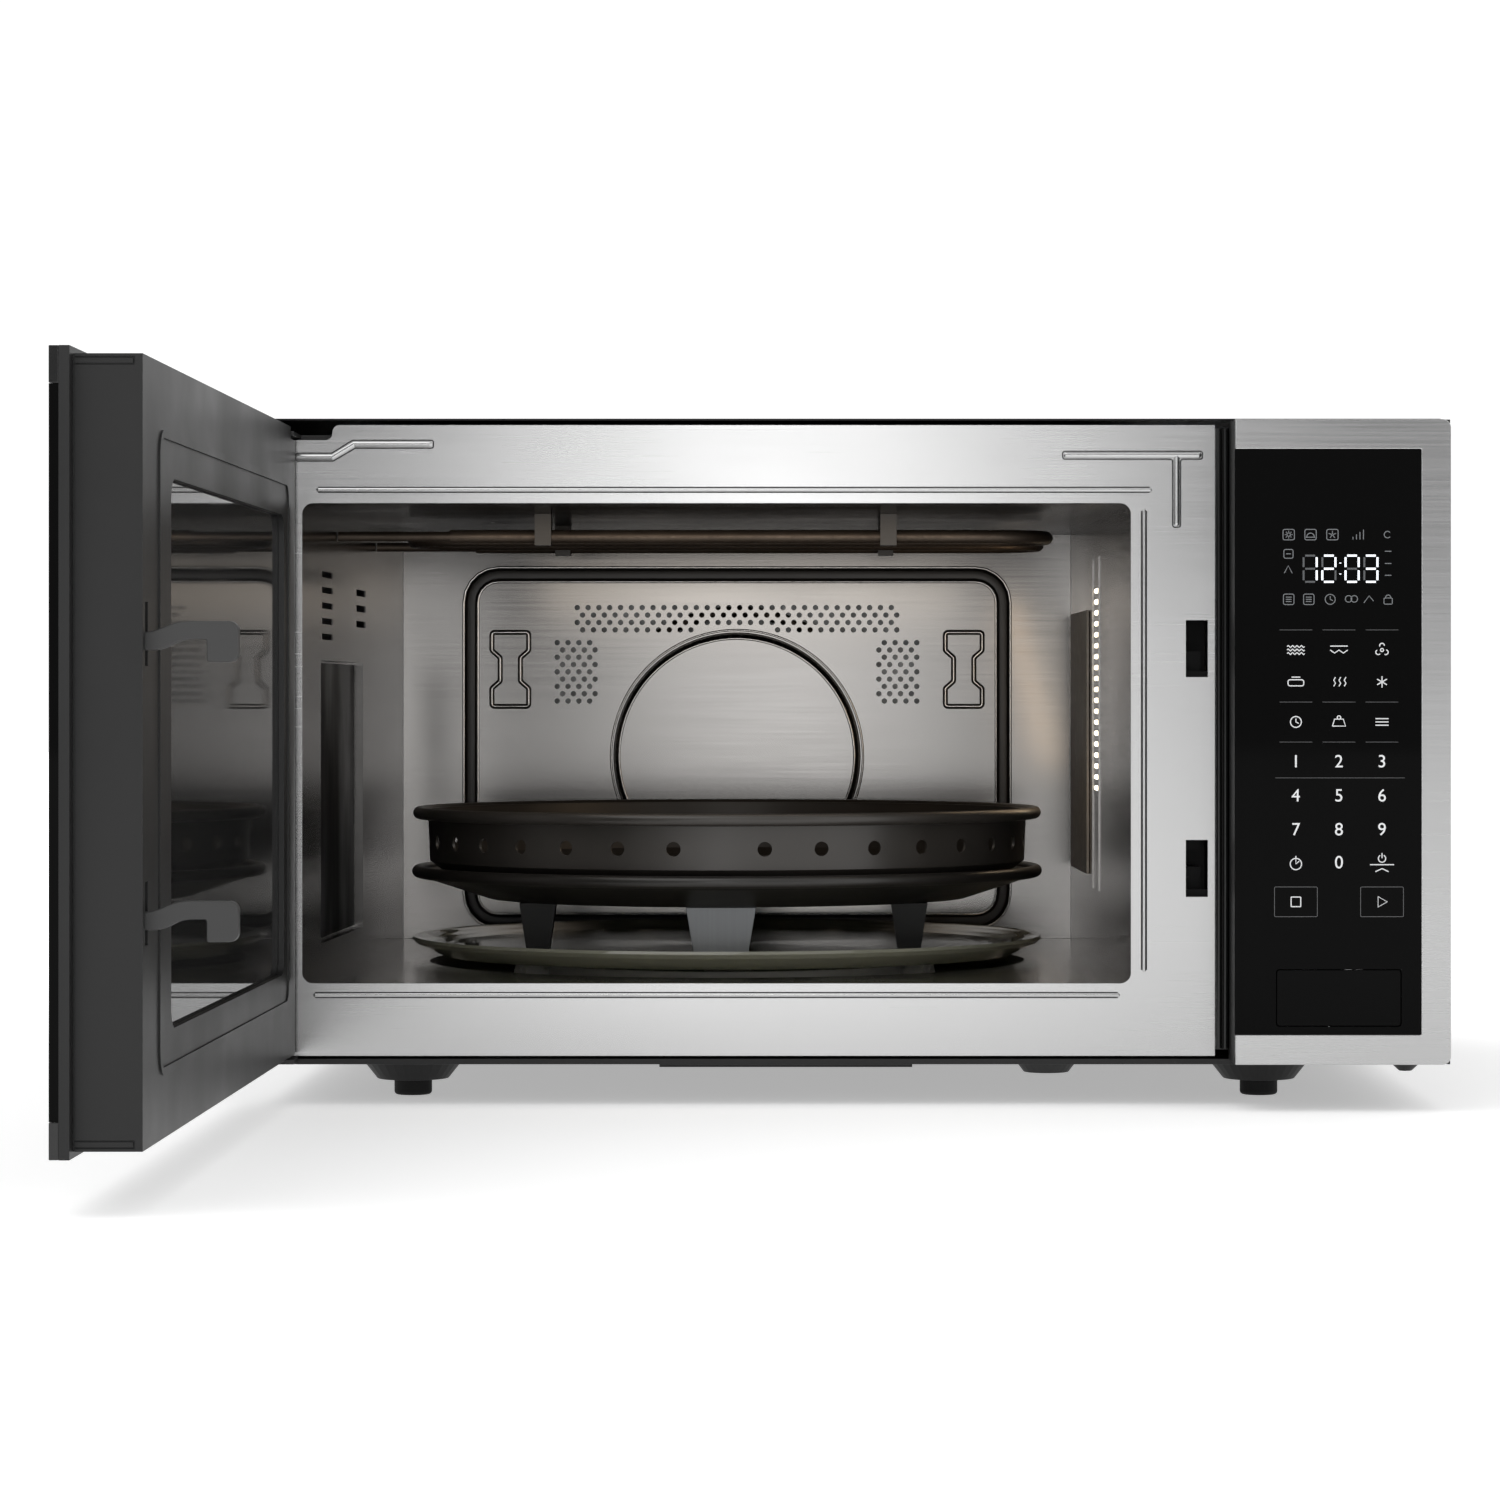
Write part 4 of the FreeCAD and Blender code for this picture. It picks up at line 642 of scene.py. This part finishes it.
def key_marks():
    """The section lines, the pictograms of the function keys, and the number keys."""
    rules = Marks("panel_rules", 0.22)
    one, two, three = COLUMNS
    left, right, short = 195.5, 254.7, 7.5
    for height in (221.0, 188.0, 169.7):
        for x in COLUMNS:
            rules.line((x - short, height), (x + short, height))
    rules.line((left, 153.3), (right, 153.3))
    keys = Marks("key_marks", 0.5)
    # first row: microwave, grill, hot air
    row = 211.8
    for height in (row - 1.6, row, row + 1.6):
        waves = [(one - 4 + 0.5 * step, height + 0.5 * math.sin(step * 1.57)) for step in range(17)]
        keys.line(*waves)
    keys.line((two - 4, row + 1.8), (two + 4, row + 1.8))
    keys.line(*((two - 4 + 2 * step, row - 1.4 * (step % 2)) for step in range(5)))
    keys.arc(three, row, 0.7)
    for turn in (0, 120, 240):
        angle = math.radians(90 + turn)
        keys.arc(three + 2 * math.cos(angle), row + 2 * math.sin(angle), 1.1, turn, 200, 8)
    # second row: crisp, steam, thaw
    row = 197.2
    keys.box(one - 3.6, row - 1.8, one + 3.6, row + 1, 1.0)
    keys.line((one - 2, row + 2.2), (one + 2, row + 2.2))
    for x in (two - 2.4, two, two + 2.4):
        keys.line((x, row - 2), (x + 0.8, row - 0.6), (x, row + 0.8), (x + 0.8, row + 2.2))
    keys.star(three, row, 0.2, 2.6, 6, 30)
    # third row: clock, weight, menu
    row = 178.9
    keys.arc(one, row, 2.5)
    keys.line((one, row + 1.5), (one, row), (one + 1.3, row - 0.7))
    low, high = row - 1.9, row + 1.3
    keys.line((two - 3, low), (two + 3, low), (two + 2, high), (two - 2, high), (two - 3, low))
    keys.arc(two, row + 2, 0.8)
    for height in (row - 1.5, row, row + 1.5):
        keys.line((three - 3, height), (three + 3, height))
    # beside the nought: timer, power
    row = 113.9
    keys.arc(one, row, 2.6)
    keys.line((one, row + 3.7), (one, row), (one + 1.5, row + 1.3))
    keys.arc(three, row + 2.5, 1.7, 120, 300, 12)
    keys.line((three, row + 5), (three, row + 2.7))
    keys.line((three - 5.5, row - 0.3), (three + 5.5, row - 0.3))
    keys.line((three - 3, row - 3.5), (three, row - 2.1), (three + 3, row - 3.5))
    # last row: stop, start, each in its outline
    row = 96.6
    keys.box(one - 2.2, row - 2.2, one + 2.2, row + 2.2, 0.3)
    keys.line((three - 1.8, row - 2.4), (three + 2.4, row), (three - 1.8, row + 2.4), closed=True)
    frames = Marks("key_outlines", 0.28)
    for x in (one, three):
        frames.box(x - 9.8, row - 6.8, x + 9.8, row + 6.8, 0.6)
    numbers = Marks("number_keys", 0.5)
    for index in range(9):
        numbers.text(str(index + 1), COLUMNS[index % 3], DIGIT_ROWS[index // 3], DIGIT_SIZE)
    numbers.text("0", two, 114.4, DIGIT_SIZE)
    return rules, keys, numbers, frames


def control_marks():
    """Everything shown on the control panel's black glass."""
    face = (GLASS_FRONT - 0.02) * MM
    bright, dim, icons = display_marks()
    rules, keys, numbers, frames = key_marks()
    # only the clock's lit digits glow as a display does; the unlit segments, the dim symbols and the printed marks
    # and rules get a faint painted glow
    lit = glowing("lit_marks", (0.86, 0.9, 0.95), 0.9)
    faint = glowing("unlit_marks_painted_glow", (0.1, 0.105, 0.11), 0.12)
    symbols = glowing("symbol_marks_painted_glow", (0.2, 0.21, 0.22), 0.15)
    glowing_ink = glowing("white_ink_painted_glow", (0.78, 0.79, 0.8), 0.25)
    grey_ink_painted_glow = glowing("grey_ink_painted_glow", (0.13, 0.132, 0.135), 0.1)
    for marks, look in (
        (bright, lit), (dim, faint), (icons, symbols), (rules, grey_ink_painted_glow),
        (keys, glowing_ink), (numbers, glowing_ink), (frames, grey_ink_painted_glow),
    ):
        marks.placed(look, face, 0.06, "cabinet", "display")


control_marks()


# ---------------------------------------------------------------- painted shade along the front frame's pressed beads


WALL_LEAN = 8.0
LEFT_WALL, RIGHT_WALL = mm("cavity_left_wall"), mm("cavity_right_wall")
MOUTH_LEFT, MOUTH_RIGHT = LEFT_WALL[1].x - WALL_LEAN, RIGHT_WALL[0].x + WALL_LEAN
MOUTH_LOW, MOUTH_HIGH = LEFT_WALL[0].z, LEFT_WALL[1].z
REAR_FACE = LEFT_WALL[1].y
LEAN = WALL_LEAN / REAR_FACE


def paint_bead_shade():
    """Painted shade: thin dark strokes along both sides of each pressed bead of the front frame, where shade falls
    beside the beads.
    """
    bead_shade_strokes = Marks("bead_painted_shade", 0.62)
    over, under, beside = MOUTH_HIGH + 6.2, MOUTH_LOW - 5.4, MOUTH_RIGHT + 6.1
    beads = [
        ((-246.6, over), (140.5, over)),
        ((-248.0, under), (125.6, under)),
        ((beside, 276.9), (beside, 63.3)),
    ]
    for (x0, z0), (x1, z1) in beads:
        run = Vector((x1 - x0, z1 - z0)).normalized() * 1.15
        side = Vector((-run.y, run.x))
        for sign in (1, -1):
            across, up = sign * side.x, sign * side.y
            bead_shade_strokes.line((x0 + across, z0 + up), (x1 + across, z1 + up))
    wide = 1.85
    left, stem, right, bar, foot = 101.8, 153.0, 163.2, 302.9, 271.2
    tee = [
        (left - wide, bar + wide), (right + wide, bar + wide), (right + wide, bar - wide),
        (stem + wide, bar - wide), (stem + wide, foot - wide), (stem - wide, foot - wide),
        (stem - wide, bar - wide), (left - wide, bar - wide),
    ]
    bead_shade_strokes.line(*rounded(tee, 1.2), closed=True)
    start, end, low, high = -257.0, -194.8 + wide, 302.0, 308.0
    stick = [
        (start, low + wide), (-240.4, low + wide), (-230.6, high + wide), (end, high + wide),
        (end, high - wide), (-229.4, high - wide), (-239.6, low - wide), (start, low - wide),
    ]
    bead_shade_strokes.line(*rounded(stick, 1.0), closed=True)
    # painted shade: a near-black coat for the strokes beside the beads
    dark = coated("crease_shadow", 0.02, 0.5)
    bead_shade_strokes.placed(dark, -0.02 * MM, 0.1, "cabinet")


paint_bead_shade()


# ---------------------------------------------------------------- details of the cavity


def hourglass(marks, x, z):
    """The outline of a locating boss pressed into the rear wall."""
    wide, waist, tall, shoulder, neck = 10.2, 5.6, 20.5, 10.5, 6.5
    right = [(wide, tall), (wide, shoulder), (waist, neck), (waist, -neck), (wide, -shoulder), (wide, -tall)]
    left = [(-a, b) for a, b in reversed(right)]
    marks.line(*rounded([(x + a, z + b) for a, b in right + left], 1.6), closed=True)


def slab(name, x, y, z, look, body, edge=0.2, lean=0.0):
    """A thin bevelled plate between limits in mm; lean shifts it across for each mm of depth."""
    work = bmesh.new()
    bmesh.ops.create_cube(work, size=1)
    for v in work.verts:
        for axis, (low, high) in enumerate((x, y, z)):
            v.co[axis] = low if v.co[axis] < 0 else high
        v.co.x += lean * v.co.y
    bmesh.ops.scale(work, vec=(MM, MM, MM), verts=work.verts)
    bmesh.ops.bevel(work, geom=work.edges, offset=edge * MM, segments=2, profile=0.5, affect="EDGES")
    mesh = bpy.data.meshes.new(name)
    work.to_mesh(mesh)
    work.free()
    return add_piece(name, mesh, look, body)


FAN_SPOT = next(j for j in frame["joints"] if j["name"] == "convection_fan_spin")["pos_m"]
DISC_X, DISC_Z = FAN_SPOT[0] / MM, FAN_SPOT[2] / MM


def channel(marks, margin):
    """The line of the pressed channel round the fan, moved out by a margin from its inner edge."""
    half, low, high, corner = 143.7, 70.3, 254.7, 11.5
    marks.box(
        DISC_X - half - margin, low - margin, DISC_X + half + margin, high + margin, corner + margin
    )


def rear_wall_details():
    """Painted highlights and painted shade on the rear wall: bright strokes on the pressed hourglass shapes, the
    channel's two edges and the disc's foot and rim, and dark strokes beside the hourglass shapes and in the
    channel's bed.
    """
    # painted highlight: a steel far lighter than the cavity's own, where pressed edges catch the light; painted
    # shade: a near-black coat where shade falls
    bright = oven_steel("pressed_edge_highlight", 0.5, 0.05, 0.22)
    shade = coated("channel_shade", 0.02, 0.4, 0.1)
    outlines = Marks("rear_outline_highlights", 1.5)
    shadows = Marks("rear_outline_shadows", 2.9)
    for x in (DISC_X - 125.6, DISC_X + 125.6):
        hourglass(outlines, x, 206)
        hourglass(shadows, x, 206)
    outlines.placed(bright, (REAR_FACE - 0.3) * MM, 0.8, "cabinet", "cavity_steel")
    shadows.placed(shade, REAR_FACE * MM, 0.3, "cabinet")
    wide = 7.5
    # painted highlights along both edges of the channel
    rims = Marks("channel_rim_highlights", 1.5)
    for margin in (-0.2, wide + 0.2):
        channel(rims, margin)
    rims.placed(bright, REAR_FACE * MM, 0.9, "cabinet", "cavity_steel")
    # painted shade on the channel's bed
    bed = Marks("channel_bed_shade", wide - 0.6)
    channel(bed, wide / 2)
    bed.placed(shade, (REAR_FACE + 2.0) * MM, 0.9, "cabinet")
    # painted highlights: bright rings at the disc's foot and rim
    rings = (("disc_foot_highlight", 69.8, 1.3, 0.0, 0.8), ("disc_rim_highlight", 65.0, 1.4, 6.0, 0.6))
    for name, radius, width, ahead, thick in rings:
        ring = Marks(name, width)
        ring.arc(DISC_X, DISC_Z, radius, steps=96)
        ring.placed(bright, (REAR_FACE - ahead) * MM, thick, "cabinet", "cavity_steel")


def side_wall_details():
    """A near-black sheet in the left wall's recess as painted shade, and the lamp's light beads in the right
    wall's holes.
    """
    # painted shade: a near-black glossy sheet laid where shade falls in the recess
    recess_shade = gloss("recess_painted_shade", 0.009, 0.3, 0.06)
    depth, long, tall = (MOUTH_LEFT - 5.1, MOUTH_LEFT - 4.6), (62.6, 214.6), (73, 207)
    slab("recess_painted_shade", depth, long, tall, recess_shade, "cabinet", 0.15, LEAN)
    glow = glowing("lamp_glow", (1.0, 0.85, 0.62), 7.0)
    size = Matrix.Diagonal((1.1 * MM, 1.2 * MM, 1.2 * MM, 1))
    work = bmesh.new()
    for row in range(19):
        for column in range(3):
            y, z = 196 + 5 * column, 144 + 5.6 * row
            spot = Matrix.Translation(Vector((MOUTH_RIGHT - LEAN * y + 0.1, y, z)) * MM)
            bmesh.ops.create_uvsphere(work, u_segments=10, v_segments=7, radius=1, matrix=spot @ size)
    mesh = bpy.data.meshes.new("lamp_beads")
    work.to_mesh(mesh)
    work.free()
    add_piece("lamp_beads", mesh, glow, "cabinet")


def latch_shroud():
    """The black shroud behind the latch slots."""
    black = LOOKS["panel_plastic"]
    tall = (86, 238)
    slab("latch_backing", (152.8, 170.7), (56.0, 57.4), tall, black, "cabinet")
    slab("latch_side", (151.0, 152.4), (8.0, 57.4), tall, black, "cabinet")


rear_wall_details()
side_wall_details()
latch_shroud()


# ---------------------------------------------------------------- stage, light and camera


def floor():
    """A wide pale floor that glows a little further out, so that it meets the white background."""
    size = 14.0
    mesh = bpy.data.meshes.new("floor")
    corners = [(x * size, y * size, 0) for x, y in ((-1, -1), (1, -1), (1, 1), (-1, 1))]
    mesh.from_pydata(corners, [], [(0, 1, 2, 3)])
    ground = bpy.data.objects.new("floor", mesh)
    bpy.context.scene.collection.objects.link(ground)
    look = Look("floor", Specular_IOR_Level=0.2)
    look.shader.inputs["Emission Color"].default_value = (1, 1, 1, 1)
    x, y, _ = look.apart()
    square = look.sum(look.sum(x, x, "MULTIPLY"), look.sum(y, y, "MULTIPLY"))
    far = look.sum(square, 0.5, "POWER")
    look.join(look.between(far, 0.4, 0.8, 0.45, 1.1), look.shader.inputs["Emission Strength"])
    look.colour(look.blend(look.noise(3.0, 3.0), grey(0.86), grey(0.88)))
    look.roughness(look.between(look.noise(40.0), 0.75, 0.85))
    mesh.materials.append(look.material)


def softbox(name, place, aim, size, power, tint=(1, 1, 1)):
    """A rectangular studio light at place, in metres, turned towards aim."""
    data = bpy.data.lights.new(name, "AREA")
    data.shape = "RECTANGLE"
    data.size, data.size_y = size
    data.energy = power
    data.color = tint
    lamp = bpy.data.objects.new(name, data)
    lamp.location = place
    lamp.rotation_euler = (Vector(aim) - Vector(place)).to_track_quat("-Z", "Y").to_euler()
    bpy.context.scene.collection.objects.link(lamp)


def studio_world():
    """White surroundings, dimmer low in front so that black glass stays black."""
    world = bpy.data.worlds.new("studio")
    world.use_nodes = True
    nodes, links = world.node_tree.nodes, world.node_tree.links
    background = nodes["Background"]
    place = nodes.new("ShaderNodeTexCoord")
    apart = nodes.new("ShaderNodeSeparateXYZ")
    links.new(place.outputs["Generated"], apart.inputs["Vector"])
    ramp = nodes.new("ShaderNodeMapRange")
    ramp.interpolation_type = "SMOOTHSTEP"
    links.new(apart.outputs["Y"], ramp.inputs["Value"])
    for title, value in (("From Min", -0.985), ("From Max", -0.8), ("To Min", 0.06), ("To Max", 0.8)):
        ramp.inputs[title].default_value = value
    seen = nodes.new("ShaderNodeLightPath")
    strength = nodes.new("ShaderNodeMix")
    links.new(seen.outputs["Is Camera Ray"], strength.inputs["Factor"])
    links.new(ramp.outputs["Result"], strength.inputs["A"])
    strength.inputs["B"].default_value = 1.1
    links.new(strength.outputs["Result"], background.inputs["Strength"])
    background.inputs["Color"].default_value = (1, 1, 1, 1)
    bpy.context.scene.world = world


def camera():
    """Square on to the front, a little above the middle, from about two metres."""
    data = bpy.data.cameras.new("camera")
    data.sensor_width = 36.0
    data.lens = 104.4
    data.shift_x = -0.0633
    data.shift_y = -0.0327
    holder = bpy.data.objects.new("camera", data)
    holder.location = (-0.0014, -2.025, 0.1885)
    holder.rotation_euler = Euler((math.pi / 2, 0, 0))
    bpy.context.scene.collection.objects.link(holder)
    bpy.context.scene.camera = holder


floor()
studio_world()
camera()
softbox("key", (-0.7, -1.0, 1.9), (0, 0.1, 0.1), (1.6, 1.2), 8)
softbox("fill", (1.5, -0.9, 0.9), (0.1, 0.1, 0.15), (1.2, 1.2), 3)
softbox("front_strip", (-0.08, -2.7, 0.2), (-0.08, 0, 0.2), (0.36, 2.6), 10)
softbox("cavity_glow", (-0.06, 0.06, 0.262), (-0.06, 0.22, 0.1), (0.26, 0.05), 0.07, (1.0, 0.86, 0.7))
softbox("cavity_side", (0.11, 0.19, 0.2), (-0.2, 0.25, 0.12), (0.04, 0.1), 0.04, (1.0, 0.72, 0.45))
bpy.context.scene.view_settings.view_transform = "Standard"
